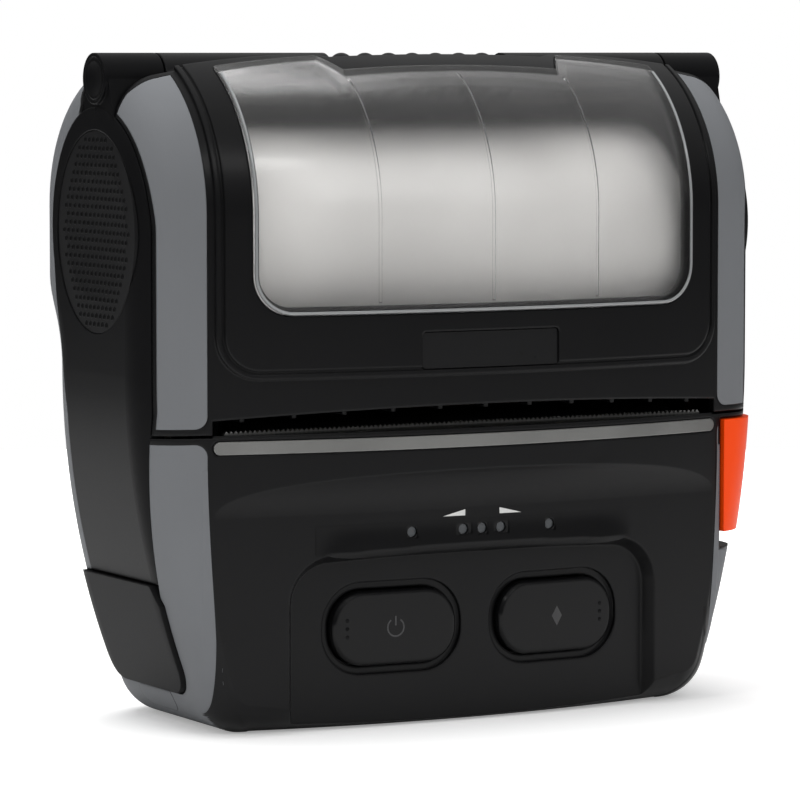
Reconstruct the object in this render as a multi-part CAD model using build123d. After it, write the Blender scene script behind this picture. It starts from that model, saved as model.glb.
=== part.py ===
from build123d import *
from functools import lru_cache
from math import acos, atan2, cos, degrees, hypot, pi, radians, sin, sqrt, tan
import os

# Mobile receipt printer for a 112 mm paper roll, standing on its lower end.
# Origin: middle of the base, under the hinge. X runs to the right, Y to the back, Z up.
# All sizes are in millimetres.

# Outer form
HALF_WIDTH = 75.5
FRONT_DEPTH = 34.0
BOW_RADIUS = 235.0
DOME_Z = 108.3
STEP_BACK = 3.4
STEP_TOP = 55.8
STEP_LOW = 46.0
LOW_BOW_RADIUS = 400.0
REAR_DEPTH = 32.0
REAR_DOME_DROP = 1.0
REAR_STEP = 6.0
REAR_STEP_TOP = 95.0
REAR_STEP_LOW = 75.0
TAPER_TOP = 75.0
TAPER_RADIUS = 175.0
FOOT_RADIUS = 11.0
RIM_RADIUS = 11.0

# Walls and clearances
WALL = 2.2
PANEL_WALL = 2.4
BAND_SKIN = 1.2
BAND_EDGE = 62.5
SPLIT_Z = 63.0
SPLIT_GAP = 0.6
BAND_END = 1.6
BAND_CORNER = 2.6
BAND_STRAIGHT = 56.0
BAND_TURN = 15.0
BAND_DRIFT = 3.2
BAND_CURL = 9.0
MOVING_GAP = 0.35
SEAT_GAP = 0.15
RUNNING = 0.05

# Side panels and their round dishes
PANEL_MID_Y = 0.7
PANEL_MID_Z = 105.0
PANEL_HALF_DEPTH = 21.2
PANEL_HALF_HEIGHT = 25.5
PANEL_INNER_X = 66.5
DISH_Z = 104.5
DISH_Y = 0.6
DISH_HALF_DEPTH = 18.8
DISH_HALF_HEIGHT = 21.3
DISH_SINK = 1.3

# Cover hinge
HINGE_Z = 136.5
BARREL_RADIUS = 5.35
BARREL_HALF = 61.6
HINGE_GAP = 0.5
EAR_END = 75.9
PIN_RADIUS = 1.5
GRIP_HALF = 26.0
GRIP_RIBS = 7
GRIP_PITCH = 5.8
GRIP_CORE = 4.0
CHANNEL_RADIUS = 8.5
LIP_BACK_Y = -7.6
WEB_TOP = 139.7
SCOOP_LOW = 138.3
SCOOP_SLOPE = 5.0

# Cover, raised panel, window and name plate
COVER_EDGE_MID = 68.2
COVER_EDGE_END = 66.2
COVER_EDGE_HALF = 61.5
PANEL_RISE = 0.9
PANEL_HALF = 61.0
PANEL_LOW = 74.6
PANEL_CORNER = 9.0
GROOVE_INSET = 1.1
GROOVE_WIDTH = 0.7
GROOVE_DEPTH = 0.45
WINDOW_HALF = 53.5
WINDOW_LOW = 87.6
WINDOW_CORNER = 8.5
WINDOW_TOP_Y = -10.6
WINDOW_TAB_Y = -17.0
WINDOW_THICK = 1.9
WINDOW_RISE = 1.4
WINDOW_LEDGE = 1.8
WINDOW_LINE_PITCH = 26.4
WINDOW_LINE_WIDTH = 0.7
WINDOW_LINE_DEPTH = 0.3
PLATE_WIDTH = 33.0
PLATE_HEIGHT = 7.6
PLATE_Z = 79.8
PLATE_SINK = 0.4
LIP_TICKS = 11
LIP_TICK_PITCH = 10.9

# Paper roll and its tray
ROLL_Y = 2.0
ROLL_Z = 100.5
ROLL_RADIUS = 25.5
PAPER_WIDTH = 111.0
CORE_RADIUS = 8.0
CORE_BORE = 6.4
ROLL_GAP = 0.4
TRAY_WALL = 1.5

# Platen, print head and cutting edge
PLATEN_Y = -16.5
PLATEN_Z = 72.5
PLATEN_RADIUS = 5.0
PLATEN_HALF = 54.0
SHAFT_RADIUS = 2.0
ARM_INNER = 58.6
ARM_THICK = 2.4
HEAD_HALF = 52.5
HEAD_THICK = 1.0
SINK_THICK = 3.0
HEAD_GAP = 0.15
BLADE_Y = -24.8
BLADE_THICK = 0.8
BLADE_HALF = 58.8
BLADE_TOP = 63.9
BLADE_LOW = 55.0
BLADE_LEDGE = 63.1
TOOTH_PITCH = 1.1
TOOTH_HEIGHT = 0.6
GUIDE_HALF = 54.0
STRIP_LOW = 59.2
STRIP_HIGH = 61.9
STRIP_HALF = 61.3

# Gear train and motor, on the left
GEAR_MODULE = 0.75
PLATEN_TEETH = 14
IDLER_TEETH = 20
LOWER_TEETH = 20
PINION_TEETH = 10
GEAR_WIDTH = 2.6
GEAR_X = -61.6
GEAR_PIN = 1.2
BACKLASH = 0.16
LOWER_TURN = -90.0
PINION_TURN = -60.0
MOTOR_RADIUS = 10.0
MOTOR_LENGTH = 12.0

# Latch, its lever and spring
LATCH_Y = 10.0
LATCH_Z = 60.0
LATCH_RADIUS = 2.2
CRANK_REACH = 22.0
NOSE_Y = -13.5
NOSE_TOP = 65.8
LEVER_HIGH = 61.5
LEVER_LOW = 36.8
LEVER_TRAVEL = 3.2
LEVER_FRONT_X = 63.8
LEVER_BACK_Y = -11.0
LEVER_RISE = 1.2
LEVER_THICK = 3.8
SPRING_RADIUS = 2.2

# Front: pocket, buttons and lights
POCKET_HALF = 44.6
POCKET_TOP = 36.4
POCKET_CORNER = 9.5
POCKET_DEPTH = 3.0
POCKET_TAPER = 32.0
BUTTON_X = 19.8
BUTTON_Z = 21.2
BUTTON_WIDTH = 28.8
BUTTON_HEIGHT = 15.8
BUTTON_CORNER = 7.2
BUTTON_PROUD = 1.3
BUTTON_TRAVEL = 0.8
BUTTON_LIP = 1.2
MOAT_WIDTH = 1.9
MOAT_DEPTH = 1.0
LIGHT_Z = 41.4
LIGHT_RADIUS = 1.1
LIGHT_PITCH = 4.6
LIGHT_OUTER = 16.8

# Battery, board and sockets
BATTERY_HALF = 40.0
BATTERY_LOW = 12.0
BATTERY_HIGH = 54.0
BATTERY_FRONT = 8.0
BATTERY_LATCH_TRAVEL = 3.0
BOARD_Y = -18.4
BOARD_THICK = 1.6
BOARD_HALF = 51.0
BOARD_LOW = 13.0
BOARD_HIGH = 46.0

# Soft flap over the sockets, on the left
FLAP_TOP = 31.6
FLAP_LOW = 8.2
FLAP_FRONT = -17.4
FLAP_BACK = 18.0
FLAP_CORNER = 6.0
FLAP_CUT = 2.2
NOTCH_Y = 1.0
NOTCH_LENGTH = 16.0
NOTCH_HEIGHT = 6.0
NOTCH_DEPTH = 0.8
FLAP_RISE = 1.0
FLAP_SINK = 1.3
SOCKET_Z = 21.0
USB_Y = -7.0
JACK_Y = 6.5

# Values worked out from the sizes above
TOP_Z = DOME_Z + FRONT_DEPTH
BOW_CENTRE_Y = BOW_RADIUS - FRONT_DEPTH
FAR = 3 * HALF_WIDTH
EAR_START = BARREL_HALF + HINGE_GAP
OPEN_DIR = (PLATEN_Z - HINGE_Z, -PLATEN_Y)
OPEN_LEN = hypot(*OPEN_DIR)
HEAD_DIR = (-OPEN_DIR[0] / OPEN_LEN, -OPEN_DIR[1] / OPEN_LEN)
HEAD_ANGLE = degrees(atan2(HEAD_DIR[1], HEAD_DIR[0]))


def block(x, y, z):
    """Box between three (low, high) pairs."""
    middle = [(low + high) / 2 for low, high in (x, y, z)]
    size = [high - low for low, high in (x, y, z)]
    return Pos(*middle) * Box(*size)


def rod(radius, low_x, high_x, y, z):
    """Cylinder along X."""
    return Pos((low_x + high_x) / 2, y, z) * Rot(0, 90, 0) * Cylinder(radius, high_x - low_x)


def bar_y(radius, x, low_y, high_y, z):
    """Cylinder along Y."""
    return Pos(x, (low_y + high_y) / 2, z) * Rot(90, 0, 0) * Cylinder(radius, high_y - low_y)


def along_x(face, low_x, high_x):
    """A face drawn in the YZ plane, extruded from low_x to high_x."""
    return Pos(low_x, 0, 0) * extrude(face, high_x - low_x)


def along_y(face):
    """A face drawn in the XZ plane, extruded a long way both to the front and the back."""
    return extrude(face, FAR, both=True)


def side_polygon(points):
    """Face in the YZ plane from (y, z) corners."""
    return make_face(Plane.YZ * Polyline(*points, close=True))


def front_polygon(points):
    """Face in the XZ plane from (x, z) corners."""
    return make_face(Polyline(*[(x, 0, z) for x, z in points], close=True))


def rounded_rectangle(width, height, radius, x, z):
    """Rounded rectangle in the XZ plane around (x, z)."""
    return Pos(x, 0, z) * (Plane.XZ * RectangleRounded(width, height, radius))


def both_sides(solid):
    """A solid and its mirror image across the middle."""
    return solid + mirror(solid, Plane.YZ)


# Outer form

def front_profile(inset):
    """Outline of the front half at the middle: dome and upright front."""
    radius = FRONT_DEPTH - inset
    lean = radius / sqrt(2)
    behind = FRONT_DEPTH / 3
    with BuildSketch(Plane.YZ) as sketch:
        with BuildLine():
            ThreePointArc((0, DOME_Z + radius), (-lean, DOME_Z + lean), (-radius, DOME_Z))
            Polyline((-radius, DOME_Z), (-radius, -STEP_LOW), (behind, -STEP_LOW),
                     (behind, TOP_Z - inset), (0, TOP_Z - inset))
        make_face()
    return sketch.sketch


@lru_cache(maxsize=None)
def lower_recess():
    """Space before the lower front, which is set back in the middle and fades out at the corners."""
    lower_y = STEP_BACK - FRONT_DEPTH
    crease = (lower_y - 1.6 * STEP_BACK, STEP_TOP)
    with BuildSketch(Plane.YZ) as sketch:
        with BuildLine():
            Spline(crease, (lower_y, STEP_LOW), tangents=[(1, -0.5), (0, -1)])
            Polyline((lower_y, STEP_LOW), (lower_y, -STEP_LOW), (-FAR, -STEP_LOW), (-FAR, STEP_TOP), crease)
        make_face()
    axis = Axis((0, LOW_BOW_RADIUS + lower_y, 0), (0, 0, 1))
    return revolve(sketch.sketch, axis).rotate(axis, 180)


def before_lower(inset):
    """Space before the lower front, moved in by inset."""
    return Pos(0, inset, 0) * lower_recess()


def rear_profile(inset):
    """Outline of the rear half: dome, back wall, step in towards the battery and base."""
    radius = REAR_DEPTH - inset
    centre_z = TOP_Z - REAR_DOME_DROP - REAR_DEPTH
    lean = radius / sqrt(2)
    lower_y = radius - REAR_STEP
    before = -REAR_DEPTH / 3
    with BuildSketch(Plane.YZ) as sketch:
        with BuildLine():
            ThreePointArc((0, centre_z + radius), (lean, centre_z + lean), (radius, centre_z))
            Line((radius, centre_z), (radius, REAR_STEP_TOP))
            Spline((radius, REAR_STEP_TOP), (lower_y, REAR_STEP_LOW), tangents=[(0, -1), (0, -1)])
            Polyline((lower_y, REAR_STEP_LOW), (lower_y, -STEP_LOW), (before, -STEP_LOW),
                     (before, centre_z + radius), (0, centre_z + radius))
        make_face()
    return sketch.sketch


def foot_arc(inset):
    """Centre and end of the foot corner's arc, tangent to the base and to the side's long taper arc."""
    taper_x = HALF_WIDTH - TAPER_RADIUS
    reach = TAPER_RADIUS - FOOT_RADIUS
    centre_z = FOOT_RADIUS
    centre_x = taper_x + sqrt(reach ** 2 - (TAPER_TOP - centre_z) ** 2)
    turn = atan2(centre_z - TAPER_TOP, centre_x - taper_x)
    radius = FOOT_RADIUS - inset
    end = (centre_x + radius * cos(turn), centre_z + radius * sin(turn))
    return centre_x, centre_z, radius, turn, end


def silhouette(inset):
    """Front view of the body: upright sides that draw in below and turn into the base."""
    centre_x, centre_z, radius, turn, end = foot_arc(inset)
    taper_x = HALF_WIDTH - TAPER_RADIUS
    long_radius = TAPER_RADIUS - inset
    half = (turn - pi / 2) / 2
    foot_mid = (centre_x + radius * cos(half), centre_z + radius * sin(half))
    long_mid = (taper_x + long_radius * cos(turn / 2), TAPER_TOP + long_radius * sin(turn / 2))
    above = TOP_Z + FRONT_DEPTH
    with BuildSketch(Plane.XZ) as sketch:
        with BuildLine():
            Line((0, inset), (centre_x, inset))
            ThreePointArc((centre_x, inset), foot_mid, end)
            ThreePointArc(end, long_mid, (HALF_WIDTH - inset, TAPER_TOP))
            Polyline((HALF_WIDTH - inset, TAPER_TOP), (HALF_WIDTH - inset, above), (0, above))
            mirror(about=Plane.YZ)
        make_face()
    return sketch.sketch


def side_x(z, inset=0.0):
    """How far from the middle the side of the body lies at height z."""
    drop = max(TAPER_TOP - z, 0)
    return HALF_WIDTH - TAPER_RADIUS + sqrt(TAPER_RADIUS ** 2 - drop ** 2) - inset


def front_y(x, z, inset=0.0):
    """Where the front surface lies above point x at height z, on its upright stretches."""
    upper = BOW_CENTRE_Y - sqrt((BOW_RADIUS - inset) ** 2 - x ** 2)
    if z > STEP_LOW:
        return upper
    lower = LOW_BOW_RADIUS - FRONT_DEPTH + STEP_BACK + inset - sqrt(LOW_BOW_RADIUS ** 2 - x ** 2)
    return max(upper, lower)


@lru_cache(maxsize=None)
def front_form(inset):
    """Front half of the body, each face moved in by inset; it runs on past the parting plane."""
    axis = Axis((0, BOW_CENTRE_Y, 0), (0, 0, 1))
    bowed = revolve(front_profile(inset), axis).rotate(axis, 180)
    form = bowed & along_y(silhouette(inset)) & block((-FAR, FAR), (-FAR, FRONT_DEPTH), (-FAR, FAR))
    rim_edge = form.edges().filter_by(Axis.Z).sort_by(Axis.Y)[0]
    return form.fillet(RIM_RADIUS - inset, [rim_edge]) - before_lower(inset)


@lru_cache(maxsize=None)
def rear_form(inset):
    """Rear half of the body, each face moved in by inset; it runs on past the parting plane."""
    form = along_x(rear_profile(inset), -FAR, FAR) & along_y(silhouette(inset))
    base_edge = form.edges().sort_by(lambda edge: edge.center().Z - edge.center().Y)[0]
    return form.fillet(RIM_RADIUS - inset, [base_edge])


FRONT_SPACE = block((-FAR, FAR), (-FAR, 0), (-FAR, FAR))
REAR_SPACE = block((-FAR, FAR), (0, FAR), (-FAR, FAR))


@lru_cache(maxsize=None)
def front_skin(outer, inner):
    """Layer of the front half between two insets."""
    return (front_form(outer) - front_form(inner)) & FRONT_SPACE


@lru_cache(maxsize=None)
def rear_skin(outer, inner):
    """Layer of the rear half between two insets."""
    return (rear_form(outer) - rear_form(inner)) & REAR_SPACE


def whole_skin(outer, inner, region):
    """Layer of both halves inside a region that reaches both."""
    return (front_skin(outer, inner) & region) + (rear_skin(outer, inner) & region)


# Regions that split the form into its pieces

def panel_outline(grow=0.0):
    """Side view of a side panel: a tall oval running down into a narrowing tail."""
    half_depth = PANEL_HALF_DEPTH + grow
    front, back = PANEL_MID_Y - half_depth, PANEL_MID_Y + half_depth
    oval = Pos(0, PANEL_MID_Y, PANEL_MID_Z) * (Plane.YZ * Ellipse(half_depth, PANEL_HALF_HEIGHT + grow))
    tail = side_polygon([
        (front, PANEL_MID_Z), (front, 68), (front + 3, 34), (front + 6.5, -grow - 1),
        (back - 9, -grow - 1), (back - 7, 34), (back - 6.5, 66), (back - 2.5, 84), (back, PANEL_MID_Z)])
    return oval + tail


def side_region(face, side, inner_x=PANEL_INNER_X):
    """A face in the YZ plane extruded outwards from inner_x on one side."""
    if side > 0:
        return along_x(face, inner_x, FAR)
    return along_x(face, -FAR, -inner_x)


def ear_outline(grow=0.0):
    """Side view of a hinge ear's foot, from the barrel down onto the side panel."""
    half_top = BARREL_RADIUS + grow
    low = PANEL_MID_Z + PANEL_HALF_HEIGHT - 4
    return side_polygon([(-half_top, HINGE_Z), (-half_top - 2.6, low), (half_top + 2.6, low),
                         (half_top, HINGE_Z)])


def on_side(solid, side):
    """A solid made for the right, mirrored when the left is asked for."""
    return solid if side > 0 else mirror(solid, Plane.YZ)


def band_region(side):
    """Front view of a grey corner band: outside a line that drifts in and turns under the foot."""
    turn_x = BAND_EDGE - BAND_DRIFT
    end_x = turn_x - BAND_CURL
    with BuildSketch(Plane.XZ) as sketch:
        with BuildLine():
            Line((BAND_EDGE, FAR), (BAND_EDGE, BAND_STRAIGHT))
            Spline((BAND_EDGE, BAND_STRAIGHT), (turn_x, BAND_TURN), tangents=[(0, -1), (0, -1)])
            TangentArc((turn_x, BAND_TURN), (end_x, 0), tangent=(0, -1))
            Polyline((end_x, 0), (end_x, -FAR), (FAR, -FAR), (FAR, FAR), (BAND_EDGE, FAR))
        make_face()
    return on_side(along_y(sketch.sketch), side)


def band_end(side, z, way):
    """Region of a band beyond z with its inner corner rounded; way is 1 upwards and -1 downwards."""
    reach = FAR / 2
    face = rounded_rectangle(reach, reach, BAND_CORNER, BAND_EDGE + reach / 2, z + way * reach / 2)
    return on_side(along_y(face), side)


def flap_outline(grow=0.0):
    """Side view of the soft flap: straight on top with a cut front corner, rounded below."""
    low, back, front, top = FLAP_LOW - grow, FLAP_BACK + grow, FLAP_FRONT - grow, FLAP_TOP + grow
    with BuildSketch(Plane.YZ) as sketch:
        with BuildLine():
            Polyline((back, top), (back, low), (front, low), (front, top - 2 * FLAP_CUT), (front + FLAP_CUT, top),
                     close=True)
        make_face()
        fillet(sketch.vertices().group_by(Axis.Y)[0], FLAP_CORNER + grow)
    return sketch.sketch


def finger_notch():
    """Shallow notch under the flap for a fingertip."""
    face = Pos(0, NOTCH_Y, FLAP_LOW - NOTCH_HEIGHT / 3) * (
        Plane.YZ * RectangleRounded(NOTCH_LENGTH, NOTCH_HEIGHT, NOTCH_HEIGHT / 2 - 0.1))
    return whole_skin(-1, NOTCH_DEPTH, along_x(face, -FAR, -HALF_WIDTH / 2))


def lever_slot():
    """Cut through the case for the release lever and its travel."""
    return lever_region(LEVER_TRAVEL, MOVING_GAP) - front_form(LEVER_THICK + 0.6)


def lever_region(grow_low=0.0, gap=0.0):
    """Space of the release lever on the right front corner."""
    return block((LEVER_FRONT_X - gap, FAR), (-FAR, LEVER_BACK_Y + gap),
                 (LEVER_LOW - grow_low - gap, LEVER_HIGH + gap))


def hinge_space(radius):
    """Round space about the hinge axis across the whole width."""
    return rod(radius, -FAR, FAR, 0, HINGE_Z)


# Side panels with their hinge ears

def side_panel(side):
    """Black side panel with its dish seat and the hinge ear that stands on it."""
    outline = panel_outline()
    region = side_region(outline, side)
    panel = whole_skin(0, PANEL_WALL, region)
    if side < 0:
        panel -= block((-FAR, 0), (-FAR, FAR), (-FAR, FLAP_TOP + MOVING_GAP))
    else:
        panel = panel - lever_slot() + lever_ledge()
    ends = sorted((side * EAR_START, side * EAR_END))
    foot_ends = sorted((side * (PANEL_INNER_X + 1), side * (HALF_WIDTH - 0.4)))
    ear = rod(BARREL_RADIUS, *ends, 0, HINGE_Z) + along_x(ear_outline(), *foot_ends)
    panel += ear
    cap_ends = sorted((side * (EAR_END - 1.0), side * FAR))
    panel -= rod(BARREL_RADIUS - 0.9, *cap_ends, 0, HINGE_Z)
    panel -= rod(PIN_RADIUS + RUNNING / 2, -FAR, FAR, 0, HINGE_Z)
    dish = dish_space(side, 0)
    return panel - dish


def dish_space(side, shrink):
    """Space of the round dish, sunk into the side panel's face."""
    face = Pos(0, DISH_Y, DISH_Z) * (
        Plane.YZ * Ellipse(DISH_HALF_DEPTH - shrink, DISH_HALF_HEIGHT - shrink))
    ends = sorted((side * (HALF_WIDTH - DISH_SINK), side * FAR))
    return along_x(face, *ends)


def side_disc(side):
    """Dished disc seated in the side panel, with a raised rim."""
    sheet = dish_space(side, SEAT_GAP) & block((-HALF_WIDTH + 0.2, HALF_WIDTH - 0.2), (-FAR, FAR), (0, FAR))
    bowl_radius = 160.0
    depth = DISH_SINK - 0.45
    centre = HALF_WIDTH - depth + bowl_radius
    bowl = Pos(side * centre, DISH_Y, DISH_Z) * Sphere(bowl_radius)
    return sheet - bowl


def hinge_cap(side):
    """Dished round cap in the end of a hinge ear."""
    ends = sorted((side * (EAR_END - 1.0), side * EAR_END))
    cap = rod(BARREL_RADIUS - 0.9 - SEAT_GAP / 2, *ends, 0, HINGE_Z)
    hollow = 14.0
    return cap - Pos(side * (EAR_END + hollow - 0.5), 0, HINGE_Z) * Sphere(hollow)


def hinge_pin():
    """Steel pin through both ears and the cover's barrel."""
    half = EAR_END - 1.2
    return rod(PIN_RADIUS, -half, half, 0, HINGE_Z)


# Rear case

def battery_space(grow):
    """Space of the battery in the rear case, open to the back."""
    return block((-BATTERY_HALF - grow, BATTERY_HALF + grow), (BATTERY_FRONT - grow, FAR),
                 (BATTERY_LOW - grow, BATTERY_HIGH + grow))


def screw_places():
    """Rear screw centres as (x, z, length)."""
    low_x, low_z = 50.0, 18.0
    high_x, high_z = 58.6, 68.2
    return [(-low_x, low_z, 14.0), (low_x, low_z, 14.0), (-high_x, high_z, 10.0), (high_x, high_z, 10.0)]


SCREW_RADIUS = 1.3
SCREW_HEAD = 2.6
SCREW_HEAD_THICK = 1.8
BOSS_RADIUS = 3.6


def screw_head_y(z):
    """Depth of a screw head's seat below the back surface."""
    back = REAR_DEPTH - (REAR_STEP if z < REAR_STEP_LOW else 0)
    return back - SCREW_HEAD_THICK - 1.2


def rear_case():
    """Rear shell with its battery bay, screw bosses and the channel behind the hinge."""
    shell = rear_skin(0, WALL)
    bay = battery_space(WALL / 2 + SEAT_GAP) & rear_form(0.2)
    inside = rear_form(WALL / 2) & REAR_SPACE
    for x, z, length in screw_places():
        shell += bar_y(BOSS_RADIUS, x, screw_head_y(z) - length, REAR_DEPTH, z) & inside
    shell = shell + bay - battery_space(SEAT_GAP)
    for x, z, length in screw_places():
        shell -= bar_y(SCREW_HEAD + 0.3, x, screw_head_y(z), FAR, z)
        shell -= bar_y(SCREW_RADIUS + SEAT_GAP / 2, x, -FAR, screw_head_y(z), z) & REAR_SPACE
    shell -= hinge_space(CHANNEL_RADIUS)
    for side in (-1, 1):
        shell -= side_region(panel_outline(), side)
        shell -= along_x(ear_outline(), *sorted((side * PANEL_INNER_X, side * FAR)))
        shell -= rear_band(side)
    shell -= flap_seat()
    shell += flap_wall(REAR_SPACE)
    shell -= socket_holes()
    shell -= battery_latch_slot()
    return shell


def rear_band(side):
    """Grey rear corner band."""
    region = band_region(side) - side_region(panel_outline(), side) - hinge_space(CHANNEL_RADIUS + 1)
    band = rear_skin(0, BAND_SKIN) & region
    band -= along_x(ear_outline(1.0), *sorted((side * PANEL_INNER_X, side * FAR)))
    if side < 0:
        band = band - along_x(flap_outline(MOVING_GAP), -FAR, 0) - finger_notch()
    return band


def case_screws():
    """Countersunk rear case screws."""
    screws = []
    for x, z, length in screw_places():
        seat = screw_head_y(z)
        screw = bar_y(SCREW_HEAD, x, seat, seat + SCREW_HEAD_THICK, z)
        screw += bar_y(SCREW_RADIUS, x, seat - length - 1, seat, z)
        slot = block((x - 0.35, x + 0.35), (seat + SCREW_HEAD_THICK - 0.8, FAR), (z - 1.8, z + 1.8))
        cross = block((x - 1.8, x + 1.8), (seat + SCREW_HEAD_THICK - 0.8, FAR), (z - 0.35, z + 0.35))
        screws.append(screw - slot - cross)
    return Compound(screws)


# Soft flap and the sockets behind it

def flap_seat():
    """Sunk seat of the flap in the left side."""
    region = along_x(flap_outline(MOVING_GAP), -FAR, -HALF_WIDTH / 2)
    return whole_skin(-1, FLAP_SINK + MOVING_GAP / 2, region)


def flap_wall(space):
    """Wall behind the flap's seat."""
    region = along_x(flap_outline(WALL), -FAR, -HALF_WIDTH / 2)
    region &= block((-FAR, 0), (-FAR, FAR), (-FAR, FLAP_TOP + SEAT_GAP))
    return whole_skin(FLAP_SINK + MOVING_GAP / 2, FLAP_SINK + WALL, region) & space


def port_cover():
    """Soft flap over the sockets, thick in the middle, with a pull edge below."""
    region = along_x(flap_outline(), -FAR, -HALF_WIDTH / 2)
    return whole_skin(-FLAP_RISE, FLAP_SINK, region)


def socket_holes():
    """Holes through the wall for the two sockets."""
    usb = block((-FAR, -HALF_WIDTH / 2), (USB_Y - 4.4, USB_Y + 4.4), (SOCKET_Z - 2.2, SOCKET_Z + 2.2))
    return usb + rod(4.2, -FAR, -HALF_WIDTH / 2, JACK_Y, SOCKET_Z)


def socket_face_x():
    """Outer face of both sockets, just behind the flap."""
    return -side_x(SOCKET_Z - 4.2, FLAP_SINK + 0.3)


def usb_port():
    """Data socket: a thin metal shell with its tongue."""
    face = socket_face_x()
    shell = block((face, face + 7), (USB_Y - 4.2, USB_Y + 4.2), (SOCKET_Z - 2.0, SOCKET_Z + 2.0))
    shell -= block((face - 1, face + 5.5), (USB_Y - 3.8, USB_Y + 3.8), (SOCKET_Z - 1.6, SOCKET_Z + 1.6))
    return shell + block((face + 0.8, face + 6), (USB_Y - 2.8, USB_Y + 2.8), (SOCKET_Z - 0.4, SOCKET_Z + 0.4))


def power_jack():
    """Round power socket with its centre pin."""
    face = socket_face_x()
    jack = rod(4.0, face, face + 10, JACK_Y, SOCKET_Z) - rod(2.75, face - 1, face + 8, JACK_Y, SOCKET_Z)
    return jack + rod(0.65, face + 1, face + 9, JACK_Y, SOCKET_Z)


# Front case

def pocket_face(grow=0.0):
    """Front view of the button pocket, open at the base."""
    height = 2 * POCKET_TOP
    radius = POCKET_CORNER + grow
    return rounded_rectangle(2 * (POCKET_HALF + grow), height + 2 * grow, radius, 0, 0)


def pocket_space(grow=0.0):
    """Button pocket as a prism that narrows towards the back."""
    floor_y = front_y(0, 0, POCKET_DEPTH)
    reach = 3 * POCKET_DEPTH
    spread = reach * tan(radians(POCKET_TAPER))
    near = Pos(0, floor_y - reach, 0) * pocket_face(grow + spread)
    far = Pos(0, floor_y + reach, 0) * pocket_face(grow - spread)
    return loft([near, far])


def pocket_cut(grow):
    """Button pocket; grow moves its walls and its floor into the case."""
    return pocket_space(grow) & before_lower(POCKET_DEPTH + grow)


def button_outline(side, grow=0.0):
    """Front view of a button."""
    return rounded_rectangle(BUTTON_WIDTH + 2 * grow, BUTTON_HEIGHT + 2 * grow, BUTTON_CORNER + grow,
                             side * BUTTON_X, BUTTON_Z)


def front_case():
    """Front shell: button pocket, moats, light holes, board posts and the ledge of the cutting edge."""
    upper = block((-FAR, FAR), (-FAR, 0), (-FAR, SPLIT_Z - SPLIT_GAP / 2))
    shell = (front_form(0) - pocket_cut(0)) - (front_form(WALL) - pocket_cut(WALL))
    shell = shell & upper
    ledge = block((-STRIP_HALF, STRIP_HALF), (-FAR, BLADE_Y), (STRIP_LOW + 0.4, BLADE_LEDGE))
    shell += front_form(WALL / 8) & ledge
    notch_half = STRIP_HALF + 0.2
    cuts = [strip_space(SEAT_GAP), lever_slot(), flap_seat(), socket_holes(),
            block((-notch_half, notch_half), (-FAR, FAR), (BLADE_LEDGE, FAR)),
            block((-BLADE_HALF - 0.3, BLADE_HALF + 0.3), (BLADE_Y, 0), (BLADE_LOW, FAR))]
    for side in (-1, 1):
        cuts.append(along_y(button_outline(side, MOAT_WIDTH)) & before_lower(POCKET_DEPTH + MOAT_DEPTH))
        cuts.append(along_y(button_outline(side, MOVING_GAP)) & FRONT_SPACE)
        cuts.append(side_region(panel_outline(), side))
        cuts.append(front_band(side))
    for x in light_places():
        cuts.append(bar_y(LIGHT_RADIUS + SEAT_GAP / 2, x, -FAR, 0, LIGHT_Z))
    shell -= cuts
    posts = [flap_wall(FRONT_SPACE)]
    for x in (-BOARD_HALF + 4, BOARD_HALF - 4):
        for z in (BOARD_LOW + 4, BOARD_HIGH - 4):
            posts.append(bar_y(2.2, x, front_y(x, z, WALL / 2), BOARD_Y, z))
    for x, z, length in screw_places()[:2]:
        boss = bar_y(BOSS_RADIUS, x, BOARD_Y + BOARD_THICK + 1, 0, z)
        boss += block((x - 1, x + 1), (BOARD_Y + BOARD_THICK + 1, 0), (WALL / 2, z))
        posts.append(boss - bar_y(SCREW_RADIUS + SEAT_GAP / 2, x, screw_head_y(z) - length, FAR, z))
    shell += posts
    return shell - socket_holes()


def front_band(side):
    """Grey front corner band below the parting of the cover."""
    region = band_region(side) - side_region(panel_outline(), side)
    region &= band_end(side, SPLIT_Z - BAND_END, -1) + block((-FAR, FAR), (-FAR, 0), (-FAR, BAND_TURN + 5))
    band = front_skin(0, BAND_SKIN) & region
    if side < 0:
        band = band - along_x(flap_outline(MOVING_GAP), -FAR, 0) - finger_notch()
    else:
        band -= lever_region(LEVER_TRAVEL, MOVING_GAP + 0.6)
    return band


def strip_space(grow):
    """Rounded-end strip on the front surface below the cutting edge."""
    height = STRIP_HIGH - STRIP_LOW + 2 * grow
    face = rounded_rectangle(2 * (STRIP_HALF + grow), height, height / 2 - 0.01, 0,
                             (STRIP_HIGH + STRIP_LOW) / 2)
    return along_y(face) & front_skin(-0.2, 0.9 + grow)


def guide_strip():
    """Bright metal strip that follows the bowed front."""
    return strip_space(0)


def tear_bar():
    """Steel cutting edge with its row of teeth and a folded foot."""
    count = int(2 * BLADE_HALF / TOOTH_PITCH)
    start = -count * TOOTH_PITCH / 2
    points = [(start, BLADE_LOW)]
    for index in range(count):
        left = start + index * TOOTH_PITCH
        points.append((left, BLADE_TOP - TOOTH_HEIGHT))
        points.append((left + TOOTH_PITCH / 2, BLADE_TOP))
    points.append((-start, BLADE_TOP - TOOTH_HEIGHT))
    points.append((-start, BLADE_LOW))
    blade = Pos(0, BLADE_Y + BLADE_THICK, 0) * extrude(front_polygon(points), -BLADE_THICK, dir=(0, 1, 0))
    foot = block((start, -start), (BLADE_Y, BLADE_Y + 4), (BLADE_LOW, BLADE_LOW + BLADE_THICK))
    return blade + foot


def light_places():
    """Centres of the status lights across the front."""
    return [-LIGHT_OUTER, -LIGHT_PITCH, 0, LIGHT_PITCH, LIGHT_OUTER]


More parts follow.
